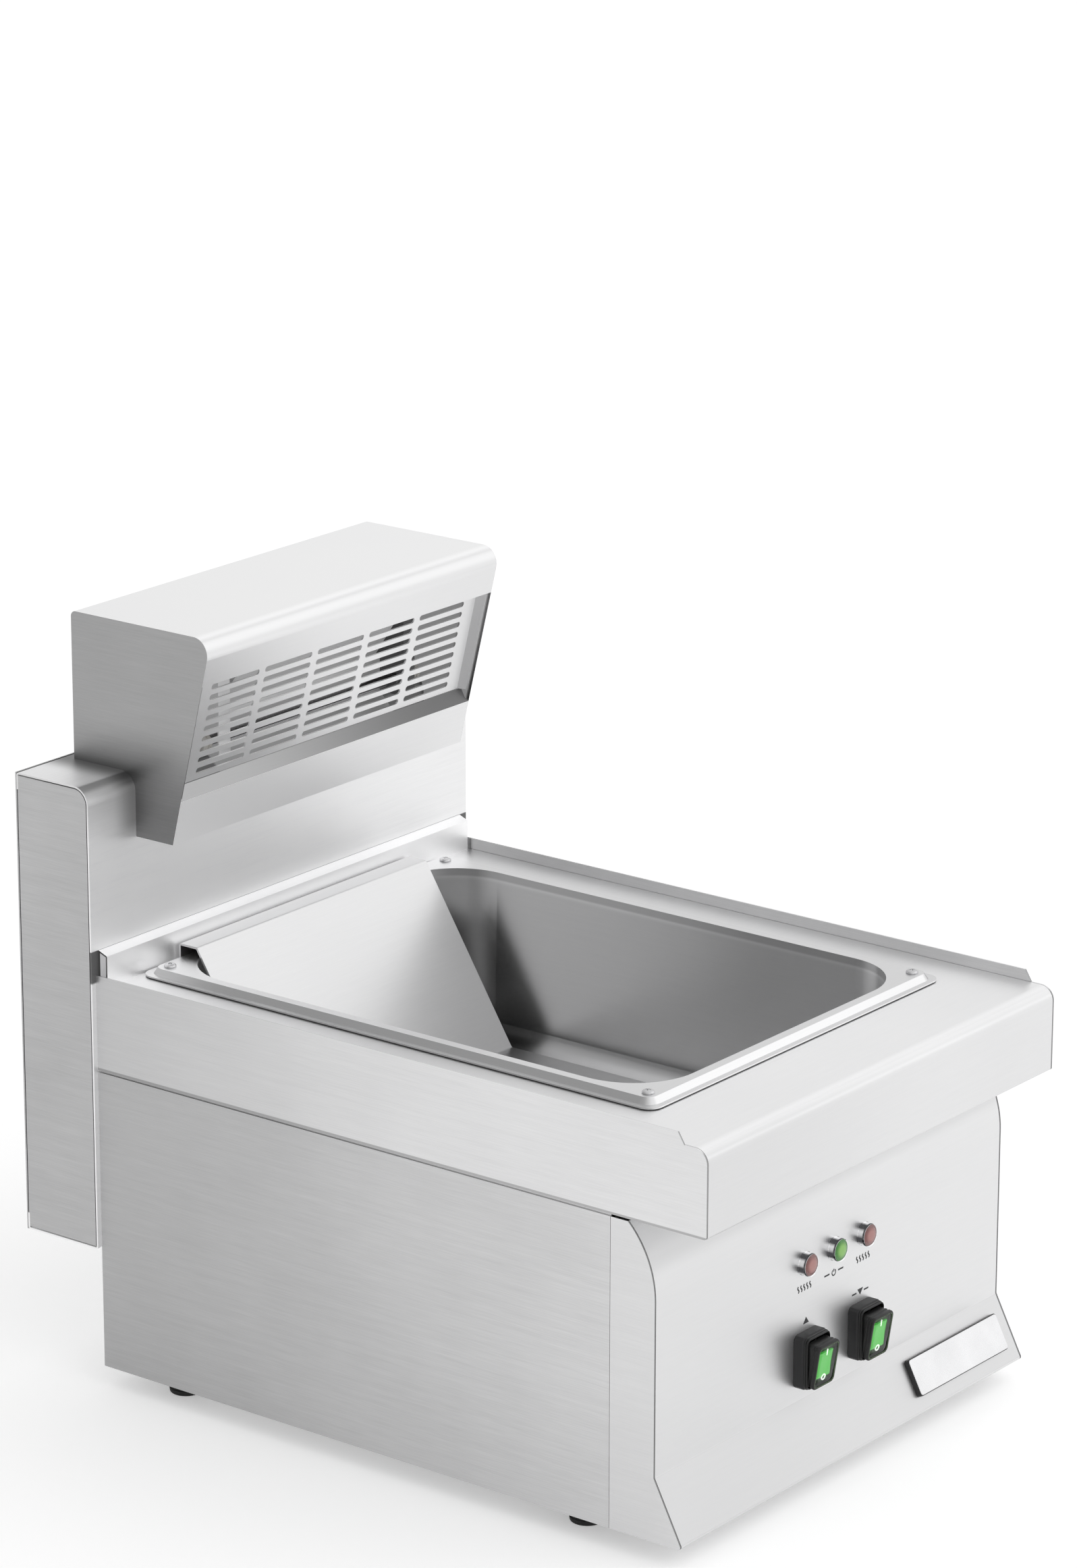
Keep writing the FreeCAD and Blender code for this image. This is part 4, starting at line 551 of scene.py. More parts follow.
def makeMoulding(name, dark, light, rough, bump):
    paint, tree, shader = newPaint(name)
    skin = useGroup(tree, mouldedSkin)
    shadeBetween(tree, shader, skin["Dust"], dark, light)
    roughBetween(tree, shader, skin["Dust"], *rough)
    bumpFrom(tree, shader, skin["Pebble"], bump, pebbleDepth)
    paints[name] = paint


lensPaints = {
    "redLens": dict(centre=(0.46, 0.20, 0.18), edge=(0.20, 0.07, 0.065), glow=0.0),
    "greenLens": dict(centre=(0.24, 0.52, 0.10), edge=(0.03, 0.20, 0.015), glow=0.10),
}
lensSurface = {
    "rough": 0.16,
    "coat": 0.6,
    "coatRough": 0.04,
    "edgeStart": 0.35,
    "edgeEnd": 0.98,
    "patchSize": 0.01,
    "patchShare": 0.25,
}


def makeLensPaint(name, centre, edge, glow):
    # darker towards the lens's edge
    surface = lensSurface
    paint, tree, shader = newPaint(name, Roughness=surface["rough"], Coat_Weight=surface["coat"],
                                   Coat_Roughness=surface["coatRough"], Emission_Strength=glow)
    away = addNode(tree, "ShaderNodeVectorMath", operation="SUBTRACT")
    feed(tree, away, 0, addNode(tree, "ShaderNodeTexCoord").outputs["Generated"])
    feed(tree, away, 1, (0.5, 0.0, 0.5))
    flat = addNode(tree, "ShaderNodeVectorMath", operation="MULTIPLY")
    feed(tree, flat, 0, away.outputs[0])
    feed(tree, flat, 1, (2.0, 0.0, 2.0))
    reach = addNode(tree, "ShaderNodeVectorMath", operation="LENGTH")
    feed(tree, reach, 0, flat.outputs[0])
    ring = smoothStep(tree, reach.outputs["Value"], surface["edgeStart"], surface["edgeEnd"])
    marks = useGroup(tree, handlingMarks, Patch_Size=surface["patchSize"])
    soft = calc(tree, "MULTIPLY_ADD", marks["Patch"], surface["patchShare"], ring, clamp=True)
    shadeBetween(tree, shader, soft, centre, edge)
    glowAsShaded(tree, shader)
    paints[name] = paint


# the rocker and its marks carry a painted glow, standing in for the light that reaches them through the clear
# cover
glowPaintedPlastics = {
    "rockerGreen": dict(dark=(0.030, 0.38, 0.022), light=(0.042, 0.46, 0.032), glow=0.50),
    "rockerMark": dict(dark=(0.78, 0.82, 0.78), light=(0.90, 0.92, 0.90), glow=0.75),
}
glowPaintedSurface = {
    "coat": 0.4,
    "rough": (0.24, 0.34),
    "patchSize": 0.012,
}


def makeGlowPaintedPlastic(name, dark, light, glow):
    paint, tree, shader = newPaint(name, Coat_Weight=glowPaintedSurface["coat"], Emission_Strength=glow)
    marks = useGroup(tree, handlingMarks, Patch_Size=glowPaintedSurface["patchSize"])
    shadeBetween(tree, shader, marks["Patch"], dark, light)
    glowAsShaded(tree, shader)
    roughBetween(tree, shader, marks["Fleck"], *glowPaintedSurface["rough"])
    paints[name] = paint


glasses = {
    "windowClear": dict(tint=(0.93, 0.97, 0.92), rough=(0.02, 0.05), bend=1.18),
    "quartzClear": dict(tint=(0.96, 0.96, 0.97), rough=(0.02, 0.06), bend=1.46),
}
glassSurface = {
    "darkShare": 0.96,
    "patchSize": 0.02,
}


def makeGlass(name, tint, rough, bend):
    paint, tree, shader = newPaint(name, Transmission_Weight=1.0, IOR=bend)
    marks = useGroup(tree, handlingMarks, Patch_Size=glassSurface["patchSize"])
    shadeBetween(tree, shader, marks["Patch"], [t * glassSurface["darkShare"] for t in tint], tint)
    roughBetween(tree, shader, marks["Patch"], *rough)
    paints[name] = paint


filament = {
    "dark": (0.050, 0.047, 0.045),
    "light": (0.090, 0.085, 0.080),
    "rough": (0.45, 0.6),
    "patchSize": 0.01,
}


def makeFilament(name):
    paint, tree, shader = newPaint(name, Metallic=1.0)
    marks = useGroup(tree, handlingMarks, Patch_Size=filament["patchSize"])
    shadeBetween(tree, shader, marks["Patch"], filament["dark"], filament["light"])
    roughBetween(tree, shader, marks["Fleck"], *filament["rough"])
    paints[name] = paint


for maker, finishes in ((makeSteel, steelFinishAndPaintedLight), (makeMetal, plainMetals), (makeMoulding, mouldings),
                        (makeLensPaint, lensPaints), (makeGlowPaintedPlastic, glowPaintedPlastics), (makeGlass, glasses)):
    for finish, values in finishes.items():
        maker(finish, **values)
makeChromeReflectionPaint("lampChrome")
makeFilament("filamentWire")
print("finishes made:", len(paints))


# Steel and other finishes on the CAD nodes that stay

nodeFinishes = {
    "panelSteel": ("left_side_panel", "right_side_panel"),
    "housingSteel": ("housing_left_cap", "housing_right_cap", "housing_back_cover"),
    "cheekSteel": ("left_front_cheek", "right_front_cheek"),
    "skirtSteel": ("left_worktop_side", "right_worktop_side"),
    "topSteel": ("worktop",),
    "frontSteel": ("front_panel",),
    "hoodSteel": ("hood_shell", "hood_grille"),
    "apronSteel": ("hood_apron",),
    "hoodSideSteel": ("hood_left_side", "hood_right_side"),
    "splashSteel": ("housing_shell",),
    "upstandSteel": ("rear_upstand",),
    "basinSteel": ("basin",),
    "insertSteel": ("drainer_insert",),
    "innerSteel": ("base_plate", "back_panel", "heater_clamps"),
    "reflectorSteel": ("hood_reflector",),
    "bracketSteel": ("heater_brackets",),
    "zincPlate": ("clamp_nuts", "lamp_nuts", "foot_screws"),
    "sheathMetal": ("lower_heater",),
    "switchBlack": ("up_switch_body", "down_switch_body", "thermostat",
                    "left_lamp_body", "middle_lamp_body", "right_lamp_body"),
    "nylonWhite": ("terminal_block",),
    "sleeveGrey": ("wiring_loom",),
    "sealGrey": ("basin_seal",),
}
for finish, names in nodeFinishes.items():
    for node in names:
        nodes[node].data.materials.clear()
        nodes[node].data.materials.append(paints[finish])
print("CAD nodes dressed:", sum(len(names) for names in nodeFinishes.values()))


# Mesh makers, working in millimetres

def filletPath(corners, closed=False, steps=5):
    # corners are (a, b) or (a, b, radius); rounds each one that has a radius
    path = []
    count = len(corners)
    for index, corner in enumerate(corners):
        spot = Vector(corner[:2])
        radius = corner[2] if len(corner) > 2 else 0
        if not radius or (not closed and index in (0, count - 1)):
            path.append(tuple(spot))
            continue
        before = (Vector(corners[index - 1][:2]) - spot).normalized()
        after = (Vector(corners[(index + 1) % count][:2]) - spot).normalized()
        half = before.angle(after) / 2
        centre = spot + (before + after).normalized() * (radius / math.sin(half))
        first = spot + before * (radius / math.tan(half)) - centre
        last = spot + after * (radius / math.tan(half)) - centre
        sweep = math.atan2(first.x * last.y - first.y * last.x, first.dot(last))
        for step in range(steps + 1):
            turn = sweep * step / steps
            path.append((centre.x + first.x * math.cos(turn) - first.y * math.sin(turn),
                         centre.y + first.x * math.sin(turn) + first.y * math.cos(turn)))
    return path


def roundedLoop(halfWidth, halfHeight, radius, steps=5):
    corners = [(halfWidth, halfHeight, radius), (-halfWidth, halfHeight, radius),
               (-halfWidth, -halfHeight, radius), (halfWidth, -halfHeight, radius)]
    return filletPath(corners, True, steps)


def stackOutlines(layers, place, closed=False):
    # layers are (outline, rise), all outlines with as many points, joined one to the next
    verts, faces = [], []
    for outline, rise in layers:
        verts += [place(a, b, rise) for a, b in outline]
    size = len(layers[0][0])
    for row in range(len(layers) if closed else len(layers) - 1):
        here, there = row * size, (row + 1) % len(layers) * size
        for index in range(size):
            following = (index + 1) % size
            faces.append((here + index, here + following, there + following, there + index))
    if not closed:
        faces.append(tuple(reversed(range(size))))
        faces.append(tuple(range(len(verts) - size, len(verts))))
    return verts, faces


def stackLoops(sections, place, closed=False, steps=5):
    # sections are (half width, half height, corner radius, rise)
    layers = [(roundedLoop(wide, tall, corner, steps), rise) for wide, tall, corner, rise in sections]
    return stackOutlines(layers, place, closed)


def sectionsOf(values, profile, level=0.0):
    # a profile's rows are (size's name, margin added all round, change of its corner, rise)
    return [(values[size][0] + margin, values[size][1] + margin, values[size][2] + corner, level + rise)
            for size, margin, corner, rise in values[profile]]


def shifted(rows, out, up):
    # rows of (radius, rise, fillet) moved outwards and up
    return [(out + radius, up + rise, fillet) for radius, rise, fillet in rows]


def spinProfile(profile, place, steps=48, closed=False):
    # profile is (radius, rise) along the piece's own axis; a radius of 0 is a pole
    verts, faces, rows = [], [], []
    for radius, rise in profile:
        if radius < 1e-6:
            rows.append([len(verts)] * steps)
            verts.append(place(0, 0, rise))
        else:
            rows.append(list(range(len(verts), len(verts) + steps)))
            verts += [place(radius * math.cos(2 * math.pi * step / steps),
                            radius * math.sin(2 * math.pi * step / steps), rise)
                      for step in range(steps)]
    pairs = list(zip(rows, rows[1:] + rows[:1])) if closed else list(zip(rows, rows[1:]))
    for low, high in pairs:
        for step in range(steps):
            following = (step + 1) % steps
            corners = []
            for vert in (low[step], low[following], high[following], high[step]):
                if vert not in corners:
                    corners.append(vert)
            if len(corners) > 2:
                faces.append(tuple(corners))
    return verts, faces


def prism(outline, place, low, high):
    # a flat outline given a thickness
    return stackOutlines([(outline, low), (outline, high)], place)


def ribbon(path, width, closed=False):
    # the outline of a stroke that follows a path
    left, right = [], []
    count = len(path)
    for index, spot in enumerate(path):
        before = Vector(path[index - 1] if index or closed else spot)
        after = Vector(path[(index + 1) % count] if index < count - 1 or closed else spot)
        along = (after - before).normalized()
        side = Vector((-along.y, along.x)) * (width / 2)
        left.append((spot[0] + side.x, spot[1] + side.y))
        right.append((spot[0] - side.x, spot[1] - side.y))
    return left, right


def strokePrism(path, width, place, low, high, closed=False):
    left, right = ribbon(path, width, closed)
    if closed:
        return stackOutlines([(left, low), (right, low), (right, high), (left, high)], place, True)
    return prism(left + right[::-1], place, low, high)


def turnOutward(mesh):
    work = bmesh.new()
    work.from_mesh(mesh)
    bmesh.ops.recalc_face_normals(work, faces=work.faces)
    work.to_mesh(mesh)
    work.free()


def makePiece(name, parts, body, slot, replaced=(), sharpAngle=32):
    # parts are (verts, faces, finish); one object with a material for each finish
    mesh = bpy.data.meshes.new(name)
    verts, faces, finishes, finishOf = [], [], [], []
    for partVerts, partFaces, finish in parts:
        if finish not in finishes:
            finishes.append(finish)
        faces += [tuple(len(verts) + vert for vert in face) for face in partFaces]
        finishOf += [finishes.index(finish)] * len(partFaces)
        verts += [Vector(vert) * millimetre for vert in partVerts]
    mesh.from_pydata(verts, [], faces)
    for finish in finishes:
        mesh.materials.append(paints[finish])
    mesh.polygons.foreach_set("material_index", finishOf)
    turnOutward(mesh)
    mesh.polygons.foreach_set("use_smooth", [True] * len(mesh.polygons))
    mesh.set_sharp_from_angle(angle=math.radians(sharpAngle))
    piece = addObject(name, mesh)
    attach(piece, body)
    if replaced:
        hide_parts(*replaced)


def boxOf(node):
    low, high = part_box(node)
    return low / millimetre, high / millimetre


def onFace(x, y, z):
    # a to the right, b up, rise out of the front panel
    return lambda a, b, rise: (x + a, y - rise, z + b)


def insetOutline(outline, distance, sharpest=0.3):
    # moves each side of a closed outline inwards, and cuts short the shift of very sharp corners
    area = sum(a[0] * b[1] - b[0] * a[1] for a, b in zip(outline, outline[1:] + outline[:1]))
    moved = []
    for index, spot in enumerate(outline):
        before = (Vector(spot) - Vector(outline[index - 1])).normalized()
        after = (Vector(outline[(index + 1) % len(outline)]) - Vector(spot)).normalized()
        normals = [Vector((-way.y, way.x)) * (1 if area > 0 else -1) for way in (before, after)]
        middle = (normals[0] + normals[1]).normalized()
        shift = middle * (distance / max(sharpest, middle.dot(normals[0])))
        moved.append((spot[0] + shift.x, spot[1] + shift.y))
    return moved


# Side plates of the hood and the rear housing, ground flush with the sheets round them

sidePlates = {
    "sheet": 1.2,
    "seam": 0.5,
    "steps": 8,
    "hoodX": 156.0,
    "hoodSkin": 0.06,
    "hoodLift": 0.01,
    "hoodInnerX": 153.8,
    "hoodPlay": 0.05,
    "liningPlay": 0.2,
    "liningThickness": 0.05,
    "hood": [(278.3, 434.0), (278.3, 539.0, 4.0), (152.8, 539.0, 12.0), (189.8, 389.0), (222.8, 389.0),
             (222.8, 421.5)],
    "housingRound": (235.3, 421.5, 12.5),
    "housingX": 203.95,
    "housingBevel": 0.15,
    "housing": [(224.35, 104.05), (287.55, 104.05), (287.55, 432.45), (224.35, 432.45, 10.95)],
}


def makeSidePlates():
    plates = sidePlates
    steps = plates["steps"]
    outline = filletPath(plates["hood"], steps=steps)
    middleY, middleZ, radius = plates["housingRound"]
    outline += [(middleY - radius * math.cos(turn), middleZ + radius * math.sin(turn))
                for turn in (math.pi / 2 * step / steps for step in range(1, steps + 1))]
    inner = insetOutline(outline, plates["sheet"] + plates["hoodPlay"])
    back = insetOutline(outline, plates["sheet"] + plates["liningPlay"])
    edge = insetOutline(filletPath(plates["housing"], True, steps), plates["seam"])
    face = insetOutline(edge, plates["housingBevel"])
    innerX, outerX = plates["hoodInnerX"], plates["housingX"]
    seatX, skinX = plates["hoodX"] + plates["hoodLift"], plates["hoodX"] + plates["hoodSkin"]
    for side, sign in (("left", -1), ("right", 1)):
        place = lambda a, b, rise: (sign * rise, a, b)
        plate = [(inner, innerX), (inner, seatX), (outline, seatX), (outline, skinX)]
        lining = [(back, innerX - plates["liningThickness"]), (back, innerX)]
        makePiece(f"{side}HoodSide", [(*stackOutlines(plate, place), "hoodSideSteel"),
                                      (*stackOutlines(lining, place), "shadedSteel")],
                  "cabinet", "stainless_sheet", (f"hood_{side}_side",), 30)
        cap = [(edge, outerX - plates["sheet"]), (edge, outerX - plates["housingBevel"]), (face, outerX)]
        makePiece(f"{side}HousingSide", [(*stackOutlines(cap, place), "housingSteel")],
                  "cabinet", "stainless_sheet", (f"housing_{side}_cap",), 30)


makeSidePlates()
print("side plates made")


# Pilot lamps

pilotLamp = {
    "radius": 8.25,
    "lipRadius": 7.45,
    "height": 6.0,
    # rows of (radius, rise, fillet), from the radius or lip and the panel or height
    "ringFoot": ((0.0, 0.0, 0.0), (0.0, 0.7, 0.15), (-0.25, 0.9, 0.1)),
    "ringTop": ((-0.25, -1.3, 0.5), (-0.75, -0.2, 0.4)),
    "lipTop": ((0.25, 0.0, 0.12), (0.0, -0.3, 0.1)),
    "lensRadius": 7.3,
    "lensHeight": 6.1,
    "lensBase": 0.2,
    "lensBrim": ((0.0, -0.5, 0.3), (-0.7, -0.1, 0.3), (-1.2, -0.25, 0.25), (-1.9, 0.2, 0.8)),
    "crown": 0.6,
    "crownSteps": 7,
    "steps": 64,
}


def makePilotLamps():
    lamp = pilotLamp
    radius, lip, height = lamp["radius"], lamp["lipRadius"], lamp["height"]
    ring = filletPath([(lip, 0.0), *shifted(lamp["ringFoot"], radius, 0.0),
                       *shifted(lamp["ringTop"], radius, height), *shifted(lamp["lipTop"], lip, height),
                       (lip, 0.0)], steps=4)
    rim, base, steps = lamp["lensRadius"], lamp["lensBase"], lamp["crownSteps"]
    brim = shifted(lamp["lensBrim"], rim, lamp["lensHeight"])
    lens = filletPath([(0.0, base), (rim, base), *brim], steps=4)
    dome = [(lens[-1][0] * math.cos(turn), lens[-1][1] + lamp["crown"] * math.sin(turn))
            for turn in (math.pi / 2 * step / steps for step in range(1, steps + 1))]
    dome[-1] = (0.0, dome[-1][1])
    for side, finish, slot in (("left", "redLens", "red_lens"), ("middle", "greenLens", "green_lens"),
                               ("right", "redLens", "red_lens")):
        low, high = boxOf(f"{side}_lamp_bezel")
        place = onFace((low.x + high.x) / 2, high.y, (low.z + high.z) / 2)
        makePiece(f"{side}LampRing", [(*spinProfile(ring, place, lamp["steps"]), "lampChrome")],
                  "cabinet", "chromed_ring", (f"{side}_lamp_bezel",))
        makePiece(f"{side}LampLens", [(*spinProfile(lens[:-1] + dome, place, lamp["steps"]), finish)],
                  "cabinet", slot, (f"{side}_lamp_lens",))


makePilotLamps()
print("pilot lamps made")


# Rocker switches

rockerSwitch = {
    "axisReach": 6.0,
    "tilt": 9.0,
    "plinthHeight": 8.0,
    # sizes are (half width, half height, corner radius)
    "plinth": (14.0, 19.0, 4.6),
    "opening": (12.65, 17.0, 3.0),
    "boot": (11.5, 15.3, 3.0),
    "flange": (12.15, 16.0, 3.6),
    "window": (11.0, 14.85, 3.0),
    "bed": (10.4, 14.0, 2.4),
    # profiles, from the plinth's top for the first two and from the rocker's axis for the others
    "plinthTop": (("plinth", 0, 0, -1.1), ("plinth", -0.3, -0.2, -0.5), ("plinth", -0.9, -0.5, 0),
                  ("opening", 0, 0, 0)),
    "bellowsProfile": (("plinth", -0.95, -0.225, 0), ("plinth", -0.45, -0.225, 0.25),
                       ("plinth", -0.45, -0.225, 1.0), ("plinth", -0.95, -0.225, 1.25),
                       ("plinth", -1.45, -0.475, 1.55), ("plinth", -0.95, -0.475, 1.8),
                       ("plinth", -0.95, -0.475, 2.65), ("plinth", -1.45, -0.475, 2.9),
                       ("opening", 0.1, 0, 2.9), ("opening", 0.1, 0, 0)),
    "bootProfile": (("boot", 0, 0, 1.0), ("boot", 0, 0, 5.6), ("boot", 0.35, 0, 5.9), ("boot", 0.35, 0, 6.6),
                    ("boot", 0, 0, 6.9), ("boot", 0, 0, 8.0), ("flange", -0.2, 0, 8.4), ("flange", 0, 0, 8.8),
                    ("flange", 0, 0, 10.7), ("flange", -0.2, 0, 11.2), ("flange", -0.5, -0.1, 11.5),
                    ("window", 0.2, 0, 11.5), ("window", 0, 0, 11.3), ("window", 0, 0, 1.0)),
    "rimProfile": (("window", -0.02, 0, 10.9), ("window", -0.02, 0, 11.46),
                   ("window", -0.45, -0.3, 11.46), ("window", -0.45, -0.3, 10.9)),
    "windowProfile": (("window", -0.35, -0.3, 10.4), ("window", -0.05, 0, 10.6),
                      ("window", -0.05, 0, 11.0), ("window", -0.6, -0.4, 11.3)),
    "bedProfile": (("bed", 0, 0, 5.2), ("bed", 0, 0, 8.1), ("bed", -0.4, 0, 8.5)),
    "pivotRadius": 5.0,
    "pivotHalf": 7.2,
    "pivotSteps": 32,
    "lensHalfWidth": 7.2,
    "lensHalfHeight": 9.25,
    "lensGrid": (10, 16),
    "lensRise": 9.95,
    "lensDip": 0.45,
    "lensEdgeDrop": 0.35,
    "lensFoot": 8.4,
    "barLength": 4.6,
    "ringRadius": 1.9,
    "ringSteps": 40,
    "strokeWidth": 0.85,
    "strokeRises": (9.7, 10.12),
}


def makeSwitch(side):
    switch = rockerSwitch
    low, high = boxOf(f"{side}_switch_base")
    x, faceY, z = (low.x + high.x) / 2, high.y, (low.z + high.z) / 2
    place = onFace(x, faceY, z)
    lean = math.radians(switch["tilt"])
    axisY = faceY - switch["axisReach"]
    rocker = f"{side}_switch_rocker"

    def leaning(a, b, rise):
        # from the rocker's axis, leaned to its off position
        return (x + a, axisY - rise * math.cos(lean) - b * math.sin(lean),
                z - rise * math.sin(lean) + b * math.cos(lean))

    top = switch["plinthHeight"]
    plinth = [(*switch["plinth"], 0.0), *sectionsOf(switch, "plinthTop", top), (*switch["opening"], 0.0)]
    makePiece(f"{side}SwitchPlinth", [(*stackLoops(plinth, place, True, 3), "switchBlack")],
              "cabinet", "black_plastic", (f"{side}_switch_base",), 25)
    bellows = stackLoops(sectionsOf(switch, "bellowsProfile", top), place, True)
    makePiece(f"{side}SwitchBellows", [(*bellows, "bootRubber")],
              "cabinet", "black_rubber", (f"{side}_switch_bellows",), 40)
    for name, profile, closed, finish, slot, angle in (
            ("Boot", "bootProfile", True, "bootRubber", "black_rubber", 40),
            ("Rim", "rimProfile", True, "windowEdge", "clear_cover", 30),
            ("Window", "windowProfile", False, "windowClear", "clear_cover", 30)):
        shape = stackLoops(sectionsOf(switch, profile), leaning, closed, 6)
        makePiece(f"{side}Rocker{name}", [(*shape, finish)], rocker, slot, (f"{side}_rocker_cover",), angle)

    radius, half = switch["pivotRadius"], switch["pivotHalf"]
    pivot = spinProfile([(0.0, -half), (radius, -half), (radius, half), (0.0, half)],
                        lambda a, b, rise: leaning(rise, a, b), switch["pivotSteps"])
    middle, half, reach = switch["lensHalfHeight"], switch["barLength"] / 2, switch["ringRadius"]
    bar = [(0.0, middle - half), (0.0, middle + half)]
    ring = [(reach * math.cos(turn), -middle + reach * math.sin(turn))
            for turn in (2 * math.pi * step / switch["ringSteps"] for step in range(switch["ringSteps"]))]
    width, rises = switch["strokeWidth"], switch["strokeRises"]
    makePiece(f"{side}Rocker", [
        (*stackLoops(sectionsOf(switch, "bedProfile"), leaning), "rockerBed"),
        (*pivot, "rockerBed"),
        (*makeRockerLens(leaning), "rockerGreen"),
        (*strokePrism(bar, width, leaning, *rises), "rockerMark"),
        (*strokePrism(ring, width, leaning, *rises, True), "rockerMark"),
    ], rocker, "green_rocker", (f"{side}_rocker",))


def makeRockerLens(place):
    # the lit lens dips a little along its middle, as a rocker's face does
    switch = rockerSwitch
    halfWidth, halfHeight = switch["lensHalfWidth"], switch["lensHalfHeight"]
    columns, rows = switch["lensGrid"]
    size = columns + 1

    def spot(row, column):
        return halfWidth * (2 * column / columns - 1), halfHeight * (2 * row / rows - 1)

    verts, faces = [], []
    for row in range(rows + 1):
        for column in range(size):
            a, b = spot(row, column)
            rise = switch["lensRise"] - switch["lensDip"] * (1 - abs(b) / halfHeight)
            if row in (0, rows) or column in (0, columns):
                rise -= switch["lensEdgeDrop"]
            verts.append(place(a, b, rise))
    for row in range(rows):
        for column in range(columns):
            here = row * size + column
            faces.append((here, here + 1, here + size + 1, here + size))
    rim = ([column for column in range(size)]
           + [row * size + columns for row in range(1, rows + 1)]
           + [rows * size + column for column in range(columns - 1, -1, -1)]
           + [row * size for row in range(rows - 1, 0, -1)])
    base, count = len(verts), len(rim)
    verts += [place(*spot(*divmod(vert, size)), switch["lensFoot"]) for vert in rim]
    for index in range(count):
        following = (index + 1) % count
        faces.append((rim[index], base + index, base + following, rim[following]))
    faces.append(tuple(base + index for index in range(count)))
    return verts, faces


for side in ("up", "down"):
    makeSwitch(side)
print("switches made")


# Printed marks, in place of the words

printedMarks = {
    "lampRow": 138.5,
    "switchRow": 114.5,
    "height": 4.6,
    "stroke": 1.15,
    "fineStroke": 0.9,
    "thickness": 0.05,
    "sink": 0.01,
    "waves": 5,
    "wavePitch": 3.4,
    "waveSwing": 0.75,
    "waveSteps": 12,
    "powerShare": 0.92,
    "powerDrop": 0.2,
    "powerStart": 35,
    "powerSweep": 290,
    "powerSteps": 28,
    "powerBar": (0.2, 0.1),
    "lampDash": (8.0, 3.0),
    "headHalf": 3.3,
    "switchDash": (7.0, 2.6),
}


def makeMarks():
    marks = printedMarks
    faceY = boxOf("up_switch_base")[1].y
    half = marks["height"] / 2
    low, high = -marks["sink"], marks["thickness"]
    parts = []

    def middleOf(node):
        return sum(corner.x for corner in boxOf(node)) / 2

    def draw(x, z, path, width=marks["stroke"]):
        parts.append((*strokePrism(path, width, onFace(x, faceY, z), low, high), "markInk"))

    def dashes(x, z, shift, reach):
        for side in (-1, 1):
            draw(x + side * shift, z, [(-reach, 0), (reach, 0)])

    steps = marks["waveSteps"]
    wave = [(marks["waveSwing"] * math.sin(2 * math.pi * step / steps), half * (2 * step / steps - 1))
            for step in range(steps + 1)]
    for side in ("left", "right"):
        for column in range(marks["waves"]):
            shift = marks["wavePitch"] * (column - (marks["waves"] - 1) / 2)
            draw(middleOf(f"{side}_lamp_bezel") + shift, marks["lampRow"], wave)
    reach, steps = half * marks["powerShare"], marks["powerSteps"]
    arc = [(reach * math.sin(turn), reach * math.cos(turn) - marks["powerDrop"])
           for turn in (math.radians(marks["powerStart"] + marks["powerSweep"] * step / steps)
                        for step in range(steps + 1))]
    foot, over = marks["powerBar"]
    draw(0, marks["lampRow"], arc, marks["fineStroke"])
    draw(0, marks["lampRow"], [(0, foot), (0, half + over)], marks["fineStroke"])
    dashes(0, marks["lampRow"], *marks["lampDash"])
    for side, sign in (("up", 1), ("down", -1)):
        x, wide = middleOf(f"{side}_switch_base"), marks["headHalf"]
        head = [(-wide, -half * sign), (wide, -half * sign), (0, half * sign)]
        parts.append((*prism(head, onFace(x, faceY, marks["switchRow"]), low, high), "markInk"))
        if sign < 0:
            dashes(x, marks["switchRow"], *marks["switchDash"])
    makePiece("panelMarks", parts, "cabinet", "black_plastic")


makeMarks()
print("marks made")


# Name plate, left bare

namePlate = {
    "lean": 62.66,
    "plate": (54.0, 13.25, 2.2),
    "thickness": 4.0,
    "drop": 11.2,
    "kink": (-251.2, 59.48),
    # profiles, from the plate's face
    "backProfile": (("plate", -0.3, 0, -3.98), ("plate", 0, 0, -3.6), ("plate", 0, 0, -0.9),
                    ("plate", -0.25, 0, -0.6)),
    "faceProfile": (("plate", -0.6, -0.2, -0.65), ("plate", -0.6, -0.2, -0.25), ("plate", -0.9, -0.4, 0)),
}


def makeNamePlate():
    plate = namePlate
    low, high = boxOf("name_plate")
    lean = math.radians(plate["lean"])
    middle = (low.x + high.x) / 2
    centre = plate["drop"] + plate["plate"][1]
    kinkY, kinkZ = plate["kink"]

    def place(a, b, rise):
        down = b - centre
        return (middle + a, kinkY + down * math.cos(lean) - rise * math.sin(lean),
                kinkZ + down * math.sin(lean) + rise * math.cos(lean))

    back, face = (stackLoops(sectionsOf(plate, profile, plate["thickness"]), place, False, 6)
                  for profile in ("backProfile", "faceProfile"))
    makePiece("namePlateBare", [(*back, "plateEdge"), (*face, "plateSilver")],
              "cabinet", "bright_aluminium", ("name_plate",))


makeNamePlate()
print("name plate made")


# Screws with cross slots

panScrew = {
    "radius": 4.25,
    "height": 2.4,
    "brim": 0.7,
    "brimBevel": (0.25, 0.2),
    "domeSteps": 9,
    "slotReach": 2.3,
    "slotWidth": 0.95,
    "slotDepth": 1.5,
    "slotFloorShares": (0.45, 0.6),
    "slotOverrun": 0.6,
    "shank": 2.0,
    "shankLength": 9.0,
    "steps": 48,
    "rimPlace": (150.4, 203.65, 299.0),
    "coverColumns": (-195.8, 0.0, 195.8),
    "coverRows": (109.5, 427.0),
    # the first screw's turn and the turn from each to the next, in degrees
    "rimTurns": (20, 33),
    "coverTurns": (15, 41),
}


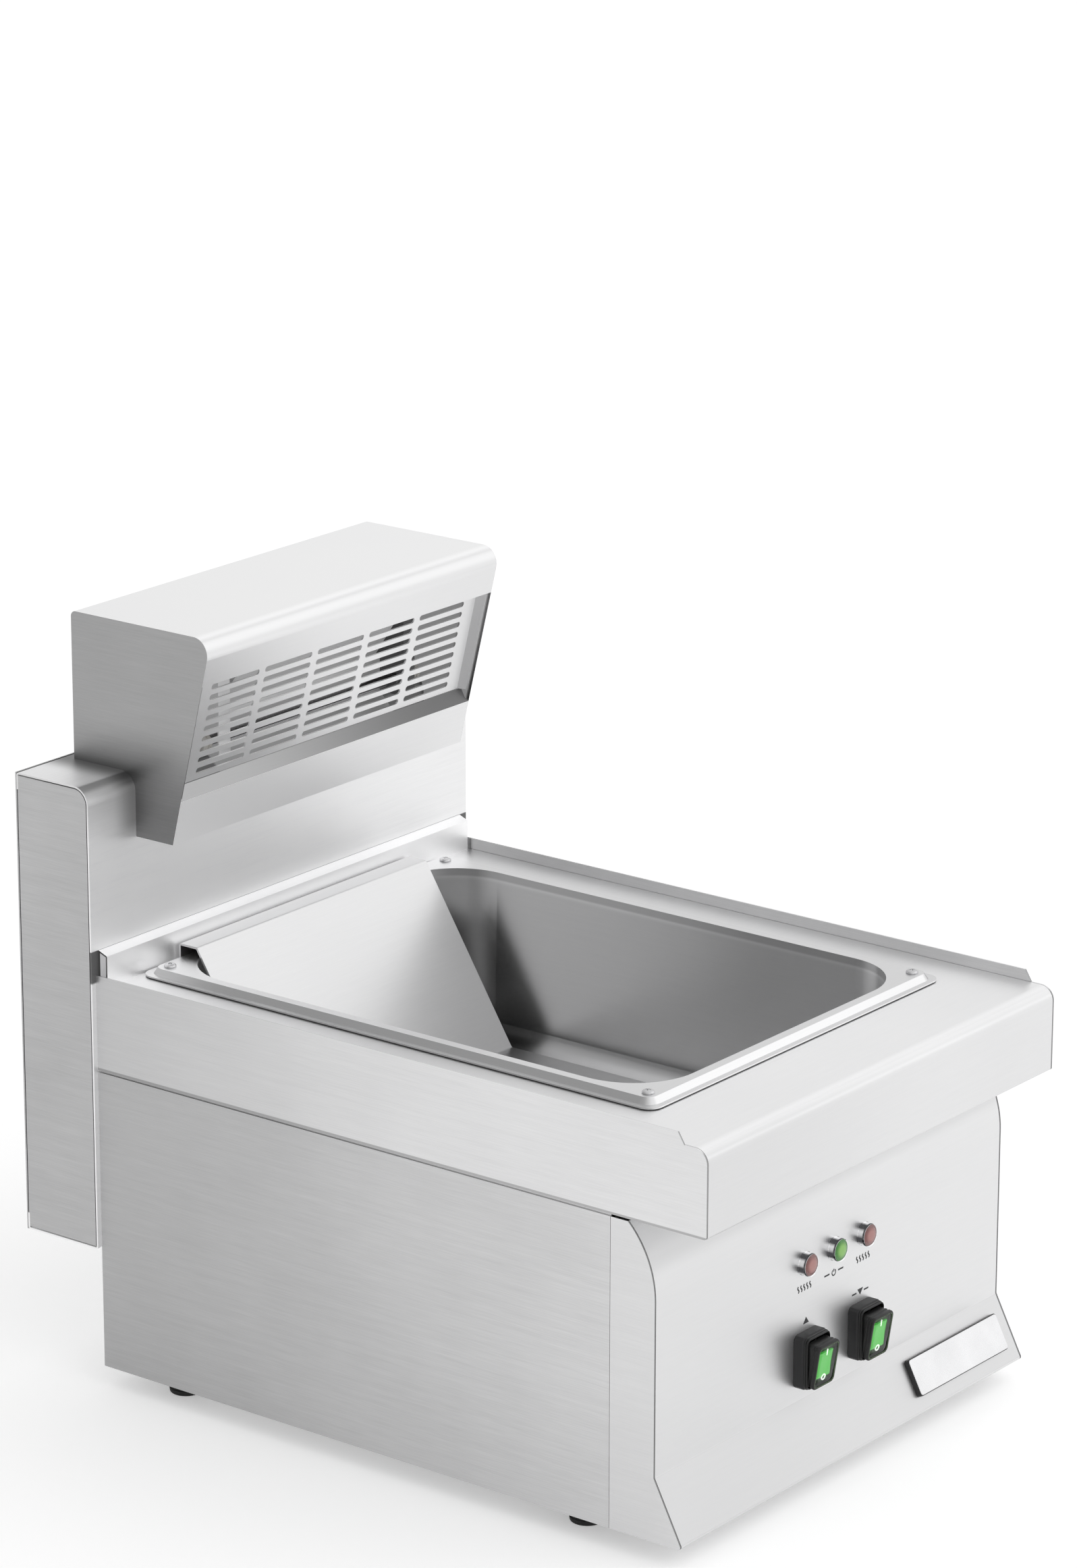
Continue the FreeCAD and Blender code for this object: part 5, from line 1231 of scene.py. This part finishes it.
def screwHead():
    # a domed head with its cross slot cut in, about the origin with its top along +Z
    screw = panScrew
    radius, height, brim = screw["radius"], screw["height"], screw["brim"]
    dome = [(radius * math.cos(turn), brim + (height - brim) * math.sin(turn))
            for turn in (math.pi / 2 * step / screw["domeSteps"] for step in range(screw["domeSteps"] + 1))]
    dome[-1] = (0.0, height)
    shank, length, (inset, bevel) = screw["shank"], screw["shankLength"], screw["brimBevel"]
    profile = [(0.0, -length), (shank, -length), (shank, 0.0), (radius - inset, 0.0), (radius, bevel)] + dome
    verts, faces = spinProfile(profile, lambda a, b, rise: (a, b, rise), screw["steps"])
    solid = bpy.data.meshes.new("screwBlank")
    solid.from_pydata(verts, [], faces)
    reach, half = screw["slotReach"], screw["slotWidth"] / 2
    floorReach, floorHalf = (size * share for size, share in zip((reach, half), screw["slotFloorShares"]))
    cutVerts, cutFaces = [], []
    for swap in (False, True):
        start = len(cutVerts)
        for a, b, rise in ((floorReach, floorHalf, height - screw["slotDepth"]),
                           (reach, half, height + screw["slotOverrun"])):
            corners = [(-a, -b), (a, -b), (a, b), (-a, b)]
            cutVerts += [(v, -u, rise) if swap else (u, v, rise) for u, v in corners]
        cutFaces += [tuple(start + v for v in face) for face in
                     ((3, 2, 1, 0), (4, 5, 6, 7), (0, 1, 5, 4), (1, 2, 6, 5), (2, 3, 7, 6), (3, 0, 4, 7))]
    cutter = bpy.data.meshes.new("slotCutter")
    cutter.from_pydata(cutVerts, [], cutFaces)
    turnOutward(solid)
    turnOutward(cutter)
    blank = addObject("screwBlank", solid)
    tool = addObject("slotCutter", cutter)
    cutting = blank.modifiers.new("slot", "BOOLEAN")
    cutting.operation = "DIFFERENCE"
    cutting.object = tool
    cutting.solver = "EXACT"
    cutting.use_self = True
    bpy.context.view_layer.update()
    made = blank.evaluated_get(bpy.context.evaluated_depsgraph_get()).to_mesh()
    result = [tuple(v.co) for v in made.vertices], [tuple(p.vertices) for p in made.polygons]
    for thing in (blank, tool):
        bpy.data.objects.remove(thing)
    return result


def makeScrews():
    screw = panScrew
    headVerts, headFaces = screwHead()
    low, high = boxOf("basin")
    reachX, reachY, topZ = screw["rimPlace"]
    rim = [(side * reachX, (low.y + high.y) / 2 + end * reachY, topZ) for end in (-1, 1) for side in (-1, 1)]
    coverY = boxOf("housing_back_cover")[1].y
    cover = [(x, coverY, z) for x in screw["coverColumns"] for z in screw["coverRows"]]
    backward = Matrix.Rotation(math.radians(-90), 3, "X")
    for name, spots, lift, (first, step) in (
            ("basinRimScrews", rim, Matrix.Identity(3), screw["rimTurns"]),
            ("backCoverScrews", cover, backward, screw["coverTurns"])):
        parts = []
        for index, spot in enumerate(spots):
            spin = lift @ Matrix.Rotation(math.radians(first + step * index), 3, "Z")
            verts = [Vector(spot) + spin @ Vector(vert) for vert in headVerts]
            parts.append((verts, headFaces, "screwSteel"))
        makePiece(name, parts, "cabinet", "plated_steel", ("pan_head_screws",), 28)


makeScrews()
print("screws made")


# Feet and cable gland

rubberFoot = {
    "radius": 13.0,
    "baseRadius": 11.5,
    "baseRound": 1.4,
    "height": 15.0,
    "bands": 3,
    "bandRise": 0.6,
    # rows of (depth, rise from the band's middle, fillet)
    "bandProfile": ((0.0, -0.75, 0.2), (-0.7, -0.45, 0.2), (-0.7, 0.1, 0.2), (0.0, 0.4, 0.2)),
    "topProfile": ((0.0, -0.6, 0.3), (-0.4, 0.0, 0.0)),
    "wellRadius": 6.0,
    "wellDepth": 9.0,
    "wellRounds": (0.3, 0.4),
    "boreRadius": 2.2,
    "steps": 56,
}
cableGland = {
    "innerRadius": 7.95,
    "nutHeight": 6.0,
    "nutCorner": 12.0,
    "nutRound": 0.6,
    "nutFaceShare": 0.95,
    "nutBevels": (0.5, 0.6),
    "capRadius": 8.0,
    "tipRadius": 6.2,
    "bore": 4.0,
    "reach": 22.0,
    # rows of (radius, rise, fillet), from the collar's foot, the nut's top and the tip
    "collarProfile": ((0.0, 0.0, 0.4), (0.0, 6.1, 0.0), (0.0, 11.5, 0.0)),
    "capProfile": ((0.0, -0.5, 0.0), (0.0, 6.0, 0.6)),
    "tipProfile": ((0.0, -1.2, 1.0), (-0.8, 0.0, 0.4)),
    "mouthProfile": ((0.6, 0.0, 0.3), (0.0, -0.8, 0.2)),
    "ribs": 20,
    "ribFoot": (-0.2, 0.5),
    "ribTip": (0.45, 0.3),
    "ribRises": (0.4, 5.6),
    "steps": 64,
}


def makeFeet():
    foot = rubberFoot
    base, radius, height = foot["baseRadius"], foot["radius"], foot["height"]
    bore, well, depth = foot["boreRadius"], foot["wellRadius"], foot["wellDepth"]
    inner, mouth = foot["wellRounds"]
    outline = [(bore, height), (bore, depth), (well, depth, inner), (well, 0.0, mouth),
               (base, 0.0, foot["baseRound"])]
    for band in range(1, foot["bands"] + 1):
        middle = height / (foot["bands"] + 1) * band + foot["bandRise"]
        outline += shifted(foot["bandProfile"], base + (radius - base) * middle / height, middle)
    outline += [*shifted(foot["topProfile"], radius, height), (bore, height)]
    for name in ("front_left", "front_right", "back_left", "back_right"):
        low, high = boxOf(f"{name}_foot")
        x, y = (low.x + high.x) / 2, (low.y + high.y) / 2
        side = "".join(word.capitalize() for word in name.split("_"))
        place = lambda a, b, rise: (x + a, y + b, rise)
        shape = spinProfile(filletPath(outline, steps=3), place, foot["steps"])
        makePiece(f"rubberFoot{side}", [(*shape, "footRubber")],
                  "cabinet", "black_rubber", (f"{name}_foot",), 40)


def makeGland():
    gland = cableGland
    low, high = boxOf("cable_gland")
    x, z, start = (low.x + high.x) / 2, (low.z + high.z) / 2, low.y
    place = lambda a, b, rise: (x + a, start + rise, z + b)
    bore, inner, cap, nut = gland["bore"], gland["innerRadius"], gland["capRadius"], gland["nutHeight"]
    top, tip = 2 * nut, nut + gland["reach"]
    shell = [(bore, 0.0)]
    for rows, out, up in (("collarProfile", inner, 0.0), ("capProfile", cap, top),
                          ("tipProfile", gland["tipRadius"], tip), ("mouthProfile", bore, tip)):
        shell += shifted(gland[rows], out, up)
    shell = filletPath([*shell, (bore, 0.0)], steps=4)
    parts = [(*spinProfile(shell, place, gland["steps"]), "switchBlack")]
    reach = gland["nutCorner"]
    ring = filletPath([(reach * math.cos(turn), reach * math.sin(turn), gland["nutRound"])
                       for turn in (math.pi / 3 * side for side in range(6))], True, 3)
    face = [(a * gland["nutFaceShare"], b * gland["nutFaceShare"]) for a, b in ring]
    hole = [(inner * math.cos(turn), inner * math.sin(turn)) for turn in (math.atan2(b, a) for a, b in ring)]
    under, over = gland["nutBevels"]
    layers = [(hole, nut), (face, nut), (ring, nut + under), (ring, top - over), (face, top), (hole, top)]
    parts.append((*stackOutlines(layers, place, True), "switchBlack"))
    (foot, footHalf), (crest, crestHalf), rises = gland["ribFoot"], gland["ribTip"], gland["ribRises"]
    for rib in range(gland["ribs"]):
        turn = 2 * math.pi * rib / gland["ribs"]
        out, side = Vector((math.cos(turn), math.sin(turn))), Vector((-math.sin(turn), math.cos(turn)))
        corners = [tuple(out * (cap + along) + side * across) for along, across in
                   ((foot, -footHalf), (foot, footHalf), (crest, crestHalf), (crest, -crestHalf))]
        parts.append((*prism(corners, place, top + rises[0], top + rises[1]), "switchBlack"))
    makePiece("cableGlandCap", parts, "cabinet", "black_plastic", ("cable_gland",), 35)


makeFeet()
makeGland()
print("feet and gland made")


# Heat lamp behind the hood's grille

heatLamp = {
    "tubeRadius": 4.5,
    "tubeWall": 0.8,
    "tubeSteps": 32,
    "endRadius": 6.5,
    "endLength": 9.0,
    "endTaper": 0.2,
    "endRound": 0.6,
    "endSteps": 40,
    "grooveHalf": 1.0,
    "grooveFloorHalf": 0.6,
    "grooveDepth": 0.7,
    "grooveRound": 0.1,
    "coilRadius": 3.1,
    "coilPitch": 1.5,
    "coilMargin": 4.0,
    "coilSteps": 10,
    "wireRadius": 0.45,
}


def makeHeatLamp():
    lamp = heatLamp
    low, high = boxOf("upper_heater")
    y, z = (low.y + high.y) / 2, (low.z + high.z) / 2
    along = lambda a, b, rise: (rise, y + a, z + b)
    start, end = low.x + lamp["endLength"], high.x - lamp["endLength"]
    radius, wall = lamp["tubeRadius"], lamp["tubeWall"]
    glass = [(radius, start), (radius, end), (radius - wall, end), (radius - wall, start)]
    makePiece("heatLampTube", [(*spinProfile(glass, along, lamp["tubeSteps"], True), "quartzClear")],
              "cabinet", "quartz_glass", ("upper_heater",))
    wide, taper, fillet = lamp["endRadius"], lamp["endTaper"], lamp["endRound"]
    parts = []
    for first, last in ((low.x, start), (end, high.x)):
        middle = (first + last) / 2
        groove = [(wide - depth, middle + shift, lamp["grooveRound"]) for depth, shift in (
            (0.0, -lamp["grooveHalf"]), (lamp["grooveDepth"], -lamp["grooveFloorHalf"]),
            (lamp["grooveDepth"], lamp["grooveFloorHalf"]), (0.0, lamp["grooveHalf"]))]
        cap = filletPath([(0.0, first), (wide - taper, first, fillet), *groove, (wide - taper, last, fillet),
                          (0.0, last)], steps=3)
        parts.append((*spinProfile(cap, along, lamp["endSteps"]), "ceramicWhite"))
    makePiece("heatLampEnds", parts, "cabinet", "quartz_glass", ("upper_heater",))
    makeCoil(along, start + lamp["coilMargin"], end - lamp["coilMargin"])


def makeCoil(along, start, end):
    lamp = heatLamp
    curve = bpy.data.curves.new("heatLampCoil", "CURVE")
    curve.dimensions = "3D"
    curve.bevel_depth = lamp["wireRadius"] * millimetre
    curve.bevel_resolution = 1
    radius, pitch, steps = lamp["coilRadius"], lamp["coilPitch"], lamp["coilSteps"]
    count = int((end - start) / pitch * steps)
    line = curve.splines.new("POLY")
    line.points.add(count)
    for index in range(count + 1):
        turn = 2 * math.pi * index / steps
        spot = along(radius * math.cos(turn), radius * math.sin(turn), start + pitch * index / steps)
        line.points[index].co = (*(Vector(spot) * millimetre), 1)
    curve.materials.append(paints["filamentWire"])
    coil = addObject("heatLampCoil", curve)
    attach(coil, "cabinet")
    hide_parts("upper_heater")


makeHeatLamp()
print("heat lamp made")
